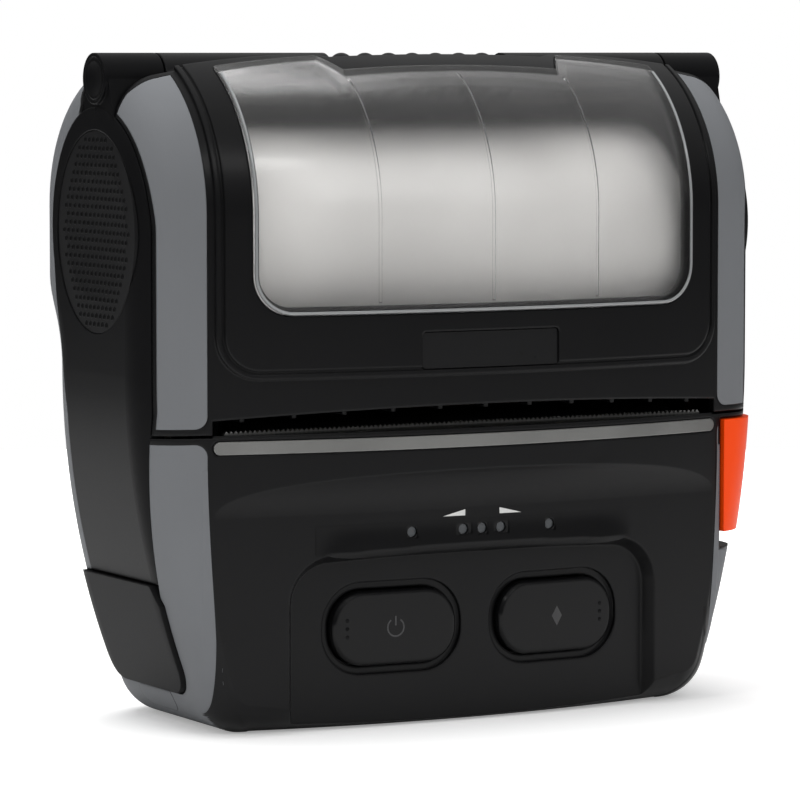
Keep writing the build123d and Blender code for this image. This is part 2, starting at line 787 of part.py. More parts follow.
def status_lights():
    """Small round light pipes, from just under the surface to the board."""
    pipes = []
    for x in light_places():
        pipes.append(bar_y(LIGHT_RADIUS, x, front_y(x, LIGHT_Z, 0.5), BOARD_Y - SEAT_GAP, LIGHT_Z))
    return Compound(pipes)


# Buttons, switches and board

def push_button(side):
    """Push button: face, skirt and a lip behind the wall that keeps it in."""
    face_inset = POCKET_DEPTH - BUTTON_PROUD
    back = POCKET_DEPTH + WALL
    body = along_y(button_outline(side)) & front_skin(face_inset, back + MOVING_GAP + BUTTON_LIP)
    front_edges = body.edges().filter_by(lambda edge: edge.center().Y < front_y(
        side * BUTTON_X, BUTTON_Z, face_inset) + 1.8 and edge.length > 3)
    rim = [edge for edge in front_edges if abs(edge.bounding_box().size.Y) < 1.8]
    body = body.chamfer(0.6, None, rim) if rim else body
    lip = along_y(button_outline(side, BUTTON_LIP)) & front_skin(
        back + MOVING_GAP, back + MOVING_GAP + BUTTON_LIP)
    return body + lip


def switch_front_y():
    """Tip of a switch, left a little behind a fully pressed button."""
    back = POCKET_DEPTH + WALL + MOVING_GAP + BUTTON_LIP
    return front_y(BUTTON_X, BUTTON_Z, back) + BUTTON_TRAVEL + SEAT_GAP


def button_switches():
    """Two small switches on the board behind the buttons."""
    switches = []
    for side in (-1, 1):
        x = side * BUTTON_X
        tip = min(switch_front_y(), BOARD_Y - 1)
        base = block((x - 3, x + 3), ((tip + BOARD_Y) / 2, BOARD_Y), (BUTTON_Z - 3, BUTTON_Z + 3))
        switches.append(base + bar_y(1.6, x, tip, BOARD_Y, BUTTON_Z))
    return Compound(switches)


def main_board():
    """Circuit board on its posts."""
    return block((-BOARD_HALF, BOARD_HALF), (BOARD_Y, BOARD_Y + BOARD_THICK), (BOARD_LOW, BOARD_HIGH))


def board_parts():
    """Processor, radio module and plugs on the back of the board."""
    back = BOARD_Y + BOARD_THICK
    parts = [block((-8, 8), (back, back + 1.4), (30, 44)), block((18, 34), (back, back + 2.2), (28, 43)),
             block((-34, -18), (back, back + 4), (34, 40)), block((-24, -14), (back, back + 3), (15, 22)),
             block((6, 28), (back, back + 5), (16, 22))]
    return Compound(parts)


# Battery and its catch

def battery_pack():
    """Battery pack whose back is part of the rear surface, with a finger scoop and a catch step."""
    pack = battery_space(0) & rear_form(0)
    channel = block((-7, 7), (-FAR, REAR_DEPTH - REAR_STEP - 5), (BATTERY_HIGH - 1.6, FAR))
    scoop = Pos(0, REAR_DEPTH - REAR_STEP + 8.5, BATTERY_HIGH - 14) * Rot(0, 90, 0) * Cylinder(10, 30)
    step = block((-7, 7), (REAR_DEPTH - REAR_STEP - 4.2, FAR), (BATTERY_HIGH - 2.5, FAR))
    return pack - scoop - step - channel


def battery_latch_slot():
    """Slot and shallow seat of the battery catch, above the battery."""
    surface = REAR_DEPTH - REAR_STEP
    low, high = BATTERY_HIGH + WALL, BATTERY_HIGH + 9
    seat = block((-9.3, 9.3), (surface - 1.2, FAR), (low - 0.3, high + BATTERY_LATCH_TRAVEL))
    stem = block((-5.3, 5.3), (surface - 6, FAR), (BATTERY_HIGH - 3, high - 1.5 + BATTERY_LATCH_TRAVEL))
    return seat + stem


def battery_latch():
    """Sliding catch above the battery: ribbed thumb plate, stem and tongue."""
    surface = REAR_DEPTH - REAR_STEP
    low, high = BATTERY_HIGH + WALL, BATTERY_HIGH + 8.7
    plate = block((-9, 9), (surface - 0.9, surface + 0.9), (low, high))
    for step in range(3):
        z = low + 1.4 + step * 1.8
        plate += block((-6, 6), (surface, surface + 1.5), (z, z + 0.8))
    stem = block((-5, 5), (surface - WALL - 1.2, surface), (low + 0.3, high - 1.8))
    keeper = block((-7, 7), (surface - WALL - 1.6, surface - WALL - 0.3), (low + 0.6, high - 2))
    tongue = block((-5, 5), (surface - 3.6, surface - 2.4), (BATTERY_HIGH - 1.2, high - 2))
    return plate + stem + keeper + tongue


# Cover

def cover_space(gap):
    """Space of the cover: above the parting, in front of the hinge and outside the side panels."""
    arch = [(-COVER_EDGE_HALF, COVER_EDGE_END), (0, COVER_EDGE_MID), (COVER_EDGE_HALF, COVER_EDGE_END)]
    with BuildSketch(Plane.XZ) as sketch:
        with BuildLine():
            ThreePointArc(*arch)
            Polyline(arch[2], (COVER_EDGE_HALF, SPLIT_Z + SPLIT_GAP / 2),
                     (FAR, SPLIT_Z + SPLIT_GAP / 2), (FAR, FAR), (-FAR, FAR),
                     (-FAR, SPLIT_Z + SPLIT_GAP / 2), (-COVER_EDGE_HALF, SPLIT_Z + SPLIT_GAP / 2),
                     arch[0])
        make_face()
    space = along_y(sketch.sketch) & block((-FAR, FAR), (-FAR, LIP_BACK_Y), (-FAR, FAR))
    for side in (-1, 1):
        space -= side_region(panel_outline(gap), side)
        space -= along_x(ear_outline(gap + 0.3), *sorted((side * (EAR_START - gap), side * FAR)))
        space -= rod(BARREL_RADIUS + gap + 0.3, *sorted((side * (EAR_START - gap), side * FAR)), 0, HINGE_Z)
    return space


def panel_face(shrink=0.0):
    """Front view of the cover's raised middle panel."""
    height = 2 * (FAR - PANEL_LOW)
    return rounded_rectangle(2 * (PANEL_HALF - shrink), height - 2 * shrink, PANEL_CORNER - shrink, 0, FAR)


def window_space(shrink=0.0):
    """Space of the window: rounded below, running over the dome to the lip, which dips in the middle."""
    height = 2 * (FAR - WINDOW_LOW)
    face = rounded_rectangle(2 * (WINDOW_HALF - shrink), height - 2 * shrink, WINDOW_CORNER - shrink, 0, FAR)
    space = along_y(face) & block((-FAR, FAR), (-FAR, WINDOW_TOP_Y - shrink), (0, FAR))
    tab_y = WINDOW_TAB_Y - shrink
    half = GRIP_HALF + shrink
    tab = Polyline((-half, tab_y), (half, tab_y), (half + 4, WINDOW_TOP_Y + 1), (-half - 4, WINDOW_TOP_Y + 1),
                   close=True)
    return space - Pos(0, 0, DOME_Z) * extrude(make_face(tab), FAR, dir=(0, 0, 1))


def cover_window():
    """Clear bowed window that stands a little proud, with three shallow upright lines."""
    pane = window_space(SEAT_GAP) & front_skin(-WINDOW_RISE, WINDOW_THICK - WINDOW_RISE)
    for index in (-1, 0, 1):
        x = index * WINDOW_LINE_PITCH
        line = block((x - WINDOW_LINE_WIDTH / 2, x + WINDOW_LINE_WIDTH / 2), (-FAR, WINDOW_TAB_Y - 3),
                     (WINDOW_LOW + 2.5, FAR))
        pane -= line & front_skin(-WINDOW_RISE - 1, WINDOW_LINE_DEPTH - WINDOW_RISE)
    return pane


def plate_space(grow):
    """Space of the bare name plate."""
    face = rounded_rectangle(PLATE_WIDTH + 2 * grow, PLATE_HEIGHT + 2 * grow, 0.8 + grow, 0, PLATE_Z)
    return along_y(face) & front_skin(-PANEL_RISE - 1, 0.6)


def name_plate():
    """Bare plate sunk in the cover's raised panel."""
    return plate_space(0) & front_skin(PLATE_SINK - PANEL_RISE, 0.6)


def barrel_ribs():
    """Rounded grip ribs around the middle of the hinge barrel."""
    ring_radius = GRIP_PITCH * 0.3
    ribs = []
    for index in range(GRIP_RIBS):
        x = (index - (GRIP_RIBS - 1) / 2) * GRIP_PITCH
        ribs.append(Pos(x, 0, HINGE_Z) * Rot(0, 90, 0) * Torus(BARREL_RADIUS - ring_radius, ring_radius))
    return ribs


def hinge_barrel():
    """Cover's hinge barrel, thinner between the grip ribs and bored for the pin."""
    barrel = rod(BARREL_RADIUS, -BARREL_HALF, BARREL_HALF, 0, HINGE_Z)
    waist = rod(BARREL_RADIUS + 1, -GRIP_HALF + 4, GRIP_HALF - 4, 0, HINGE_Z)
    barrel = barrel - waist + rod(GRIP_CORE, -GRIP_HALF, GRIP_HALF, 0, HINGE_Z)
    for rib in barrel_ribs():
        barrel += rib
    return barrel - rod(PIN_RADIUS + RUNNING, -FAR, FAR, 0, HINGE_Z)


def platen_arm(side):
    """Arm on the cover that carries the platen's bush, with a notch below for the latch nose."""
    low = SPLIT_Z + 0.2
    wall_y = front_y(ARM_INNER + ARM_THICK, PLATEN_Z, WALL / 2)
    outline = side_polygon([(wall_y, PLATEN_Z - 3.5), (PLATEN_Y - 4, PLATEN_Z - 5.5), (NOSE_Y - 4.2, low),
                            (NOSE_Y + 4.2, low), (NOSE_Y + 4.2, PLATEN_Z - 3), (PLATEN_Y + 4.8, PLATEN_Z + 2),
                            (PLATEN_Y + 2, PLATEN_Z + 5.5), (wall_y, PLATEN_Z + 10)])
    ends = sorted((side * ARM_INNER, side * (ARM_INNER + ARM_THICK)))
    arm = along_x(outline, *ends)
    arm -= rod(SHAFT_RADIUS + 1.0, -FAR, FAR, PLATEN_Y, PLATEN_Z)
    return arm - block((-FAR, FAR), (NOSE_Y - 1.6, NOSE_Y + 1.6), (-FAR, NOSE_TOP + 0.6))


def lip_ticks():
    """Small guide ribs under the cover's lower edge."""
    ticks = []
    for index in range(LIP_TICKS):
        x = (index - (LIP_TICKS - 1) / 2) * LIP_TICK_PITCH
        outer = front_y(x, COVER_EDGE_MID, WALL - 0.2)
        low = COVER_EDGE_MID - (COVER_EDGE_MID - COVER_EDGE_END) * (x / COVER_EDGE_HALF) ** 2 - 0.9
        ticks.append(block((x - 0.5, x + 0.5), (outer, outer + 4), (low, low + 5)))
    return ticks


def paper_cover():
    """Cover shell with its raised panel, window seat, hinge barrel and platen arms."""
    space = cover_space(MOVING_GAP)
    cover = front_skin(0, WALL) & space
    raised = along_y(panel_face()) & front_skin(-PANEL_RISE, WALL / 2) & space
    groove = along_y(panel_face(GROOVE_INSET)) - along_y(panel_face(GROOVE_INSET + GROOVE_WIDTH))
    raised -= groove & front_skin(-PANEL_RISE - 1, GROOVE_DEPTH - PANEL_RISE)
    cover += raised
    cover -= window_space() & front_skin(-PANEL_RISE - 2, WINDOW_THICK - WINDOW_RISE + SEAT_GAP)
    cover -= window_space(WINDOW_LEDGE)
    cover -= plate_space(SEAT_GAP) & front_skin(-PANEL_RISE - 2, 0.6 + SEAT_GAP)
    cover += hinge_web() - scoop_space()
    cover -= scoop_space()
    for side in (-1, 1):
        cover -= cover_band(side)
        cover += platen_arm(side)
    cover += lip_ticks()
    cover -= hinge_space(BARREL_RADIUS - 1)
    return cover + hinge_barrel()


def hinge_web():
    """Web between the cover's upper edge and its hinge barrel."""
    web = block((-BARREL_HALF, BARREL_HALF), (WINDOW_TOP_Y, -GRIP_CORE / 2), (HINGE_Z - 1.5, WEB_TOP))
    return web & front_form(WALL / 2)


def scoop_space():
    """Cut in the cover's upper edge, with sloping ends, that bares the grip ribs."""
    outer = GRIP_HALF + SCOOP_SLOPE
    plan = Polyline((-GRIP_HALF, WINDOW_TOP_Y), (GRIP_HALF, WINDOW_TOP_Y), (outer, LIP_BACK_Y), (outer, FAR),
                    (-outer, FAR), (-outer, LIP_BACK_Y), close=True)
    return Pos(0, 0, SCOOP_LOW) * extrude(make_face(plan), FAR, dir=(0, 0, 1))


def cover_band(side):
    """Grey corner band on the cover."""
    region = band_end(side, SPLIT_Z + BAND_END, 1) - hinge_space(CHANNEL_RADIUS + 0.3)
    region -= side_region(panel_outline(MOVING_GAP + 0.6), side)
    region &= block((-FAR, FAR), (-FAR, LIP_BACK_Y - 0.6), (0, FAR))
    return front_skin(0, BAND_SKIN) & region


# Platen, print head, roll and tray

def platen_roller():
    """Rubber sleeve of the platen."""
    sleeve = rod(PLATEN_RADIUS, -PLATEN_HALF, PLATEN_HALF, PLATEN_Y, PLATEN_Z)
    return sleeve - rod(SHAFT_RADIUS, -FAR, FAR, PLATEN_Y, PLATEN_Z)


def platen_shaft():
    """Steel shaft of the platen, out to its gear on the left."""
    return rod(SHAFT_RADIUS, GEAR_X - GEAR_WIDTH - 0.6, ARM_INNER + ARM_THICK + 0.6, PLATEN_Y, PLATEN_Z)


def platen_bushes():
    """Bearing bushes in the cover's arms."""
    bushes = []
    for side in (-1, 1):
        inner = side * (ARM_INNER - 1.2)
        outer = side * (ARM_INNER + ARM_THICK)
        bush = rod(SHAFT_RADIUS + 1.0, *sorted((inner, outer)), PLATEN_Y, PLATEN_Z)
        flange = rod(SHAFT_RADIUS + 2.0, *sorted((inner, side * ARM_INNER)), PLATEN_Y, PLATEN_Z)
        bushes.append(bush + flange - rod(SHAFT_RADIUS + RUNNING, -FAR, FAR, PLATEN_Y, PLATEN_Z))
    return Compound(bushes)


def head_layer(start, thick, low, high, half):
    """Plate behind the platen, start away from its axis along the way the platen presses."""
    face = Plane.YZ * (Pos(start + thick / 2, (low + high) / 2) * Rectangle(thick, high - low))
    plate = along_x(face, -half, half)
    return Pos(0, PLATEN_Y, PLATEN_Z) * Rot(HEAD_ANGLE, 0, 0) * plate


def print_head():
    """Ceramic heater plate of the print head."""
    return head_layer(PLATEN_RADIUS + HEAD_GAP, HEAD_THICK, -9, 3, HEAD_HALF)


def heat_sink():
    """Aluminium carrier behind the heater plate, with two spring seats."""
    start = PLATEN_RADIUS + HEAD_GAP + HEAD_THICK
    sink = head_layer(start, SINK_THICK, -12, 2.5, FRAME_INNER - SEAT_GAP)
    groove = head_layer(start + SINK_THICK - 1, 2, -9, -3, HEAD_HALF - 14)
    return sink - groove


def head_spring():
    """Leaf spring that presses the carrier towards the platen."""
    start = PLATEN_RADIUS + HEAD_GAP + HEAD_THICK + SINK_THICK
    half = HEAD_HALF - 16
    low = -12.6
    lean = radians(HEAD_ANGLE)
    leaf_y = PLATEN_Y + start * cos(lean) - low * sin(lean)
    leaf_top = PLATEN_Z + start * sin(lean) + (low + 0.4) * cos(lean)
    leaf = block((-half, half), (leaf_y, leaf_y + 0.6), (FRAME_LOW + FRAME_WALL, leaf_top))
    return head_layer(start, 0.6, low, -4, half) + leaf


FRAME_INNER = 54.6
FRAME_WALL = 1.4
FRAME_LOW = 48.5


def print_frame():
    """Folded steel frame: a shelf and two cheeks for the head, latch bar, gear pins and motor."""
    outline = side_polygon([(-13, FRAME_LOW), (6.5, FRAME_LOW), (14, LATCH_Z - 4), (14, LATCH_Z + 4),
                            (4, 71), (-8, 71), (-13, 60)])
    cheek = along_x(outline, FRAME_INNER, FRAME_INNER + FRAME_WALL)
    frame = both_sides(cheek)
    frame += block((-FRAME_INNER, FRAME_INNER), (GUIDE_BACK_Y - 1.6, 6), (FRAME_LOW, FRAME_LOW + FRAME_WALL))
    motor_y, motor_z = pinion_centre()
    mount = side_polygon([(motor_y - MOTOR_RADIUS, FRAME_LOW + 1), (motor_y - MOTOR_RADIUS, motor_z - 6),
                          (motor_y - 4, motor_z - MOTOR_RADIUS), (motor_y + 4, motor_z - MOTOR_RADIUS),
                          (motor_y + 8, motor_z - 4), (6.5, FRAME_LOW + 1)])
    frame += along_x(mount, -FRAME_INNER - FRAME_WALL, -FRAME_INNER)
    frame -= rod(MOTOR_RADIUS + 0.4, -FRAME_INNER, -FRAME_INNER + MOTOR_LENGTH + 0.6, motor_y, motor_z)
    for x, z, length in screw_places()[2:]:
        side = 1 if x > 0 else -1
        ends = sorted((side * FRAME_INNER, side * (abs(x) + BOSS_RADIUS)))
        back = screw_head_y(z) - length
        frame += block(ends, (back - FRAME_WALL, back), (z - BOSS_RADIUS, z + BOSS_RADIUS))
        frame -= bar_y(SCREW_RADIUS + SEAT_GAP / 2, x, 0, FAR, z)
    frame -= rod(LATCH_RADIUS + RUNNING, -FAR, FAR, LATCH_Y, LATCH_Z)
    frame -= rod(1.0 + 4 * RUNNING, -FAR, 0, motor_y, motor_z)
    for y, z in gear_centres()[1:3]:
        frame -= rod(GEAR_PIN, -FAR, 0, y, z)
    return frame


GUIDE_BACK_Y = -14.8


def paper_guide():
    """Bent guide that leads the paper from under the platen to the cutting edge."""
    behind = BLADE_Y + BLADE_THICK + 0.1
    low, crest, lip = FRAME_LOW + FRAME_WALL, PLATEN_Z - PLATEN_RADIUS - 1.2, BLADE_TOP - 1.3
    outline = side_polygon([(GUIDE_BACK_Y - 1.2, low), (GUIDE_BACK_Y, low), (GUIDE_BACK_Y, crest - 0.2),
                            (GUIDE_BACK_Y - 0.8, crest), (GUIDE_BACK_Y - 5, lip + 0.8), (behind, lip),
                            (behind, lip - 1.2), (GUIDE_BACK_Y - 4.2, lip - 1), (GUIDE_BACK_Y - 1.2, lip - 0.6)])
    return along_x(outline, -GUIDE_HALF, GUIDE_HALF)


def paper_tray():
    """Curved tray under the roll with a cheek at each end."""
    inner = ROLL_RADIUS + ROLL_GAP
    outer = inner + TRAY_WALL
    half = PAPER_WIDTH / 2 + 1.0
    centre = (ROLL_Y, ROLL_Z)
    ring = rod(outer, -half - TRAY_WALL, half + TRAY_WALL, *centre) - rod(inner, -FAR, FAR, *centre)
    wedge = side_polygon([centre, (ROLL_Y - FAR * 0.47, ROLL_Z - FAR * 0.88), (FAR, ROLL_Z - FAR),
                          (FAR, ROLL_Z + FAR * 0.25)])
    tray = ring & along_x(wedge, -FAR, FAR)
    disc = rod(outer, half, half + TRAY_WALL, *centre)
    disc &= block((0, FAR), (front_y(half + TRAY_WALL, ROLL_Z, WALL) + 1.2, FAR), (0, ROLL_Z + 12))
    disc -= rod(PLATEN_RADIUS + 5, 0, FAR, PLATEN_Y, PLATEN_Z)
    disc -= rod(CORE_BORE + 5, 0, FAR, *centre)
    return tray + both_sides(disc)


def paper_roll():
    """Roll of paper on its core."""
    half = PAPER_WIDTH / 2
    return rod(ROLL_RADIUS, -half, half, ROLL_Y, ROLL_Z) - rod(CORE_RADIUS, -FAR, FAR, ROLL_Y, ROLL_Z)


def paper_core():
    """Card core of the roll."""
    half = PAPER_WIDTH / 2
    return rod(CORE_RADIUS, -half, half, ROLL_Y, ROLL_Z) - rod(CORE_BORE, -FAR, FAR, ROLL_Y, ROLL_Z)


# Gears and motor

def gear_distance(first, second):
    """Centre distance of two meshed gears."""
    return GEAR_MODULE * (first + second) / 2


def step_from(centre, distance, turn):
    """Point at a distance and direction, in degrees, from a (y, z) centre."""
    return centre[0] + distance * cos(radians(turn)), centre[1] + distance * sin(radians(turn))


def gear_centres():
    """Centres (y, z) of the platen gear, idler, lower gear and pinion."""
    platen = (PLATEN_Y, PLATEN_Z)
    idler = step_from(platen, gear_distance(PLATEN_TEETH, IDLER_TEETH), HEAD_ANGLE)
    lower = step_from(idler, gear_distance(IDLER_TEETH, LOWER_TEETH), LOWER_TURN)
    pinion = step_from(lower, gear_distance(LOWER_TEETH, PINION_TEETH), PINION_TURN)
    return [platen, idler, lower, pinion]


def pinion_centre():
    """Centre (y, z) of the motor and its pinion."""
    return gear_centres()[3]


def involute(base, radius):
    """Polar angle of an involute of the base circle where it meets a radius."""
    if radius <= base:
        return 0.0
    angle = acos(base / radius)
    return tan(angle) - angle


def gear(teeth, phase, centre, bore):
    """Spur gear with involute flanks; one tooth points along phase, in degrees."""
    pitch = GEAR_MODULE * teeth / 2
    base = pitch * cos(radians(20))
    tip = pitch + 0.82 * GEAR_MODULE
    root = pitch - 1.12 * GEAR_MODULE
    half_tooth = pi / (2 * teeth) - BACKLASH / (2 * pitch) + involute(base, pitch)
    steps = [max(base, root) + (tip - max(base, root)) * share for share in (0, 0.35, 0.7, 1)]
    points = []
    for index in range(teeth):
        middle = radians(phase) + 2 * pi * index / teeth
        flank = [(root, half_tooth)] + [(radius, half_tooth - involute(base, radius)) for radius in steps]
        for radius, half in flank:
            points.append((radius * cos(middle - half), radius * sin(middle - half)))
        for radius, half in reversed(flank):
            points.append((radius * cos(middle + half), radius * sin(middle + half)))
    wheel = along_x(side_polygon(points), GEAR_X - GEAR_WIDTH, GEAR_X)
    wheel = Pos(0, *centre) * wheel
    return wheel - rod(bore, -FAR, FAR, *centre)


def mesh_phase(teeth, turn):
    """Phase that puts a gap of the gear towards a neighbour that lies at turn, in degrees."""
    return turn + 180.0 / teeth


def platen_gear():
    """Gear on the platen's shaft."""
    return gear(PLATEN_TEETH, HEAD_ANGLE, gear_centres()[0], SHAFT_RADIUS)


def gear_phases():
    """Phases of the idler, lower gear and pinion, each in mesh with the one before."""
    idler = mesh_phase(IDLER_TEETH, HEAD_ANGLE + 180)
    lower = follow_phase(IDLER_TEETH, idler, LOWER_TEETH, LOWER_TURN)
    pinion = follow_phase(LOWER_TEETH, lower, PINION_TEETH, PINION_TURN)
    return idler, lower, pinion


def follow_phase(first_teeth, first_phase, second_teeth, turn):
    """Phase of a gear lying at turn from another, so that a tooth falls into each gap."""
    first_offset = (turn - first_phase) * first_teeth / 360.0
    second_turn = turn + 180.0
    return second_turn + 360.0 / second_teeth * (0.5 + first_offset)


def idler_gear():
    """Gear behind the platen gear."""
    return gear(IDLER_TEETH, gear_phases()[0], gear_centres()[1], GEAR_PIN + RUNNING)


def lower_gear():
    """Gear between the idler and the motor's pinion."""
    return gear(LOWER_TEETH, gear_phases()[1], gear_centres()[2], GEAR_PIN + RUNNING)


def motor_pinion():
    """Brass pinion with the motor's shaft."""
    centre = pinion_centre()
    pinion = gear(PINION_TEETH, gear_phases()[2], centre, 0.9)
    return pinion + rod(1.0, GEAR_X - GEAR_WIDTH, -FRAME_INNER + 4, *centre)


def gear_pins():
    """Pins of the two loose gears, riveted into the frame."""
    pins = []
    for y, z in gear_centres()[1:3]:
        pin = rod(GEAR_PIN, GEAR_X - GEAR_WIDTH - 0.4, -FRAME_INNER, y, z)
        collar = rod(GEAR_PIN + 0.9, GEAR_X + 0.1, GEAR_X + 0.9, y, z)
        washer = rod(GEAR_PIN + 0.9, GEAR_X - GEAR_WIDTH - 1.0, GEAR_X - GEAR_WIDTH - 0.3, y, z)
        pins.append(pin + collar + washer)
    return Compound(pins)


def stepper_motor():
    """Round stepper motor with its terminal block."""
    y, z = pinion_centre()
    start = -FRAME_INNER
    can = rod(MOTOR_RADIUS, start, start + MOTOR_LENGTH, y, z)
    block_out = block((start + 3, start + MOTOR_LENGTH - 1), (y - MOTOR_RADIUS - 1.5, y), (z - 4, z + 4))
    boss = rod(1.0 + RUNNING, start - 1, start + 5, y, z)
    return can + block_out - boss


# Latch and lever

def latch_hook(side):
    """Hook on the latch bar whose nose stands in the notch of a cover arm."""
    top, low = LATCH_Z + 1.8, LATCH_Z - 0.8
    outline = side_polygon([(LATCH_Y - 4, LATCH_Z - 2.2), (LATCH_Y + 3, LATCH_Z - 2.2), (LATCH_Y + 3, LATCH_Z + 3),
                            (LATCH_Y - 4, LATCH_Z + 3),
                            (NOSE_Y + 5, top), (NOSE_Y + 1.3, top), (NOSE_Y + 1.3, NOSE_TOP - 1.2),
                            (NOSE_Y + 0.3, NOSE_TOP), (NOSE_Y - 0.5, NOSE_TOP), (NOSE_Y - 1.3, NOSE_TOP - 2),
                            (NOSE_Y - 1.3, low), (LATCH_Y - 8, low)])
    ends = sorted((side * (ARM_INNER + 0.2), side * (ARM_INNER + ARM_THICK - 0.2)))
    return along_x(outline, *ends)


def latch_bar():
    """Bar across the frame with a hook at each end and the lever's crank on the right."""
    end = ARM_INNER + ARM_THICK + 3.4
    bar = rod(LATCH_RADIUS, -ARM_INNER - ARM_THICK, end, LATCH_Y, LATCH_Z)
    for side in (-1, 1):
        bar += latch_hook(side)
    tip_y = LATCH_Y - CRANK_REACH
    crank = side_polygon([(LATCH_Y + 3, LATCH_Z - 2.5), (LATCH_Y + 3, LATCH_Z + 2.8), (LATCH_Y - 3, LATCH_Z + 2),
                          (tip_y + 1.5, CRANK_TOP), (tip_y - 1.5, CRANK_TOP), (tip_y - 1.5, CRANK_TOP - 3),
                          (tip_y + 3, CRANK_TOP - 3)])
    return bar + along_x(crank, end - 2.4, end)


CRANK_TOP = 57.0


def release_lever():
    """Orange lever on the right front corner, with grip ridges and an inner foot over the crank."""
    region = lever_region()
    lever = region & (front_form(-LEVER_RISE) - front_form(LEVER_THICK)) & FRONT_SPACE
    low_cut = side_x(LEVER_LOW) + LEVER_RISE
    wedge = front_polygon([(low_cut - 3.4, LEVER_LOW - 1), (low_cut + 9, LEVER_LOW - 1),
                           (low_cut + 9, LEVER_LOW + 12)])
    lever -= along_y(wedge)
    for index in range(5):
        z = LEVER_HIGH - 8 - index * 2
        groove_x = side_x(z) + LEVER_RISE
        lever -= Pos(groove_x + 0.3, 0, z) * Rot(90, 0, 0) * Cylinder(0.8, FAR)
    tip_y = LATCH_Y - CRANK_REACH
    foot_low = CRANK_TOP + SEAT_GAP
    crank_end = ARM_INNER + ARM_THICK + 3.4
    lever += block((crank_end - 2.6, side_x(foot_low, LEVER_THICK) + 1), (tip_y - 2.5, tip_y + 1.2),
                   (foot_low, foot_low + 2.6))
    return lever


SPRING_X = 66.6
LEDGE_TOP = 47.0


def lever_ledge():
    """Ledge inside the right side panel that the lever's spring stands on."""
    tip_y = LATCH_Y - CRANK_REACH
    heights = (LEDGE_TOP - 2, LEDGE_TOP)
    inner = SPRING_X - SPRING_RADIUS - 0.3
    shelf = block((inner, FAR), (tip_y - 2.6, LEVER_BACK_Y + 4), heights) & front_form(LEVER_THICK + 0.6)
    root = block((inner, FAR), (LEVER_BACK_Y + MOVING_GAP, LEVER_BACK_Y + 4), heights)
    return shelf + (root & front_form(PANEL_WALL / 2))


def lever_spring():
    """Return spring between the ledge and the lever's foot."""
    tip_y = LATCH_Y - CRANK_REACH
    low, high = LEDGE_TOP, CRANK_TOP + SEAT_GAP
    spring = Pos(SPRING_X, tip_y, (low + high) / 2) * Cylinder(SPRING_RADIUS, high - low)
    return spring - Pos(SPRING_X, tip_y, (low + high) / 2) * Cylinder(SPRING_RADIUS - 0.7, FAR)


PIECES = {
    "front_case": front_case,
    "rear_case": rear_case,
    "left_side_panel": lambda: side_panel(-1),
    "right_side_panel": lambda: side_panel(1),
    "left_side_disc": lambda: side_disc(-1),
    "right_side_disc": lambda: side_disc(1),
    "left_hinge_cap": lambda: hinge_cap(-1),
    "right_hinge_cap": lambda: hinge_cap(1),
    "hinge_pin": hinge_pin,
    "rear_band_left": lambda: rear_band(-1),
    "rear_band_right": lambda: rear_band(1),
    "front_band_left": lambda: front_band(-1),
    "front_band_right": lambda: front_band(1),
    "case_screws": case_screws,
    "guide_strip": guide_strip,
    "tear_bar": tear_bar,
    "paper_guide": paper_guide,
    "status_lights": status_lights,
    "power_button": lambda: push_button(-1),
    "feed_button": lambda: push_button(1),
    "button_switches": button_switches,
    "main_board": main_board,
    "board_parts": board_parts,
    "usb_port": usb_port,
    "power_jack": power_jack,
    "port_cover": port_cover,
    "battery_pack": battery_pack,
    "battery_latch": battery_latch,
    "paper_cover": paper_cover,
    "cover_window": cover_window,
    "name_plate": name_plate,
    "cover_band_left": lambda: cover_band(-1),
    "cover_band_right": lambda: cover_band(1),
    "platen_roller": platen_roller,
    "platen_shaft": platen_shaft,
    "platen_gear": platen_gear,
    "platen_bushes": platen_bushes,
    "print_head": print_head,
    "heat_sink": heat_sink,
    "head_spring": head_spring,
    "print_frame": print_frame,
    "idler_gear": idler_gear,
    "lower_gear": lower_gear,
    "motor_pinion": motor_pinion,
    "gear_pins": gear_pins,
    "stepper_motor": stepper_motor,
    "latch_bar": latch_bar,
    "release_lever": release_lever,
    "lever_spring": lever_spring,
    "paper_tray": paper_tray,
    "paper_roll": paper_roll,
    "paper_core": paper_core,
}


def main():
    os.makedirs("parts", exist_ok=True)
    for name, make in PIECES.items():
        shape = make()
        export_step(shape, f"parts/{name}.step")


main()
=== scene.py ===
"""Looks of a mobile receipt printer: materials, small surface detail, studio and camera."""

import logging
import math
from collections.abc import Iterable
from dataclasses import dataclass
from enum import Enum

import bmesh
import bpy
from mathutils import Matrix, Vector

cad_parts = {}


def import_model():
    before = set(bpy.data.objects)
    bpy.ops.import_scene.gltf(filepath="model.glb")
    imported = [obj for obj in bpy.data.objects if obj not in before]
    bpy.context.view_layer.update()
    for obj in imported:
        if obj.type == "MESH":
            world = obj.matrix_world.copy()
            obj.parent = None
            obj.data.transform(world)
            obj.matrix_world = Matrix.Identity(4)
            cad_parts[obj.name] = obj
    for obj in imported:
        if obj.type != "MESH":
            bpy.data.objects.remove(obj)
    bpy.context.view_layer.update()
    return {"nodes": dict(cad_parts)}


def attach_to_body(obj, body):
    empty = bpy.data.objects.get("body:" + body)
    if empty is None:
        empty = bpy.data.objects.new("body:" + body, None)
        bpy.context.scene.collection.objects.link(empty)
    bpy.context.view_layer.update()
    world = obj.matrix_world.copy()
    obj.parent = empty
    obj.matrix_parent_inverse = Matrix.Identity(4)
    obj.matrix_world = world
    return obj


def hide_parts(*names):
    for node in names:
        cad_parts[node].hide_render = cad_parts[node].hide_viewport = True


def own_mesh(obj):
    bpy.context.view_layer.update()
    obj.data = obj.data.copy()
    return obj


logging.basicConfig(level=logging.INFO, format="%(message)s")
LOG = logging.getLogger("printer")
MM = 0.001
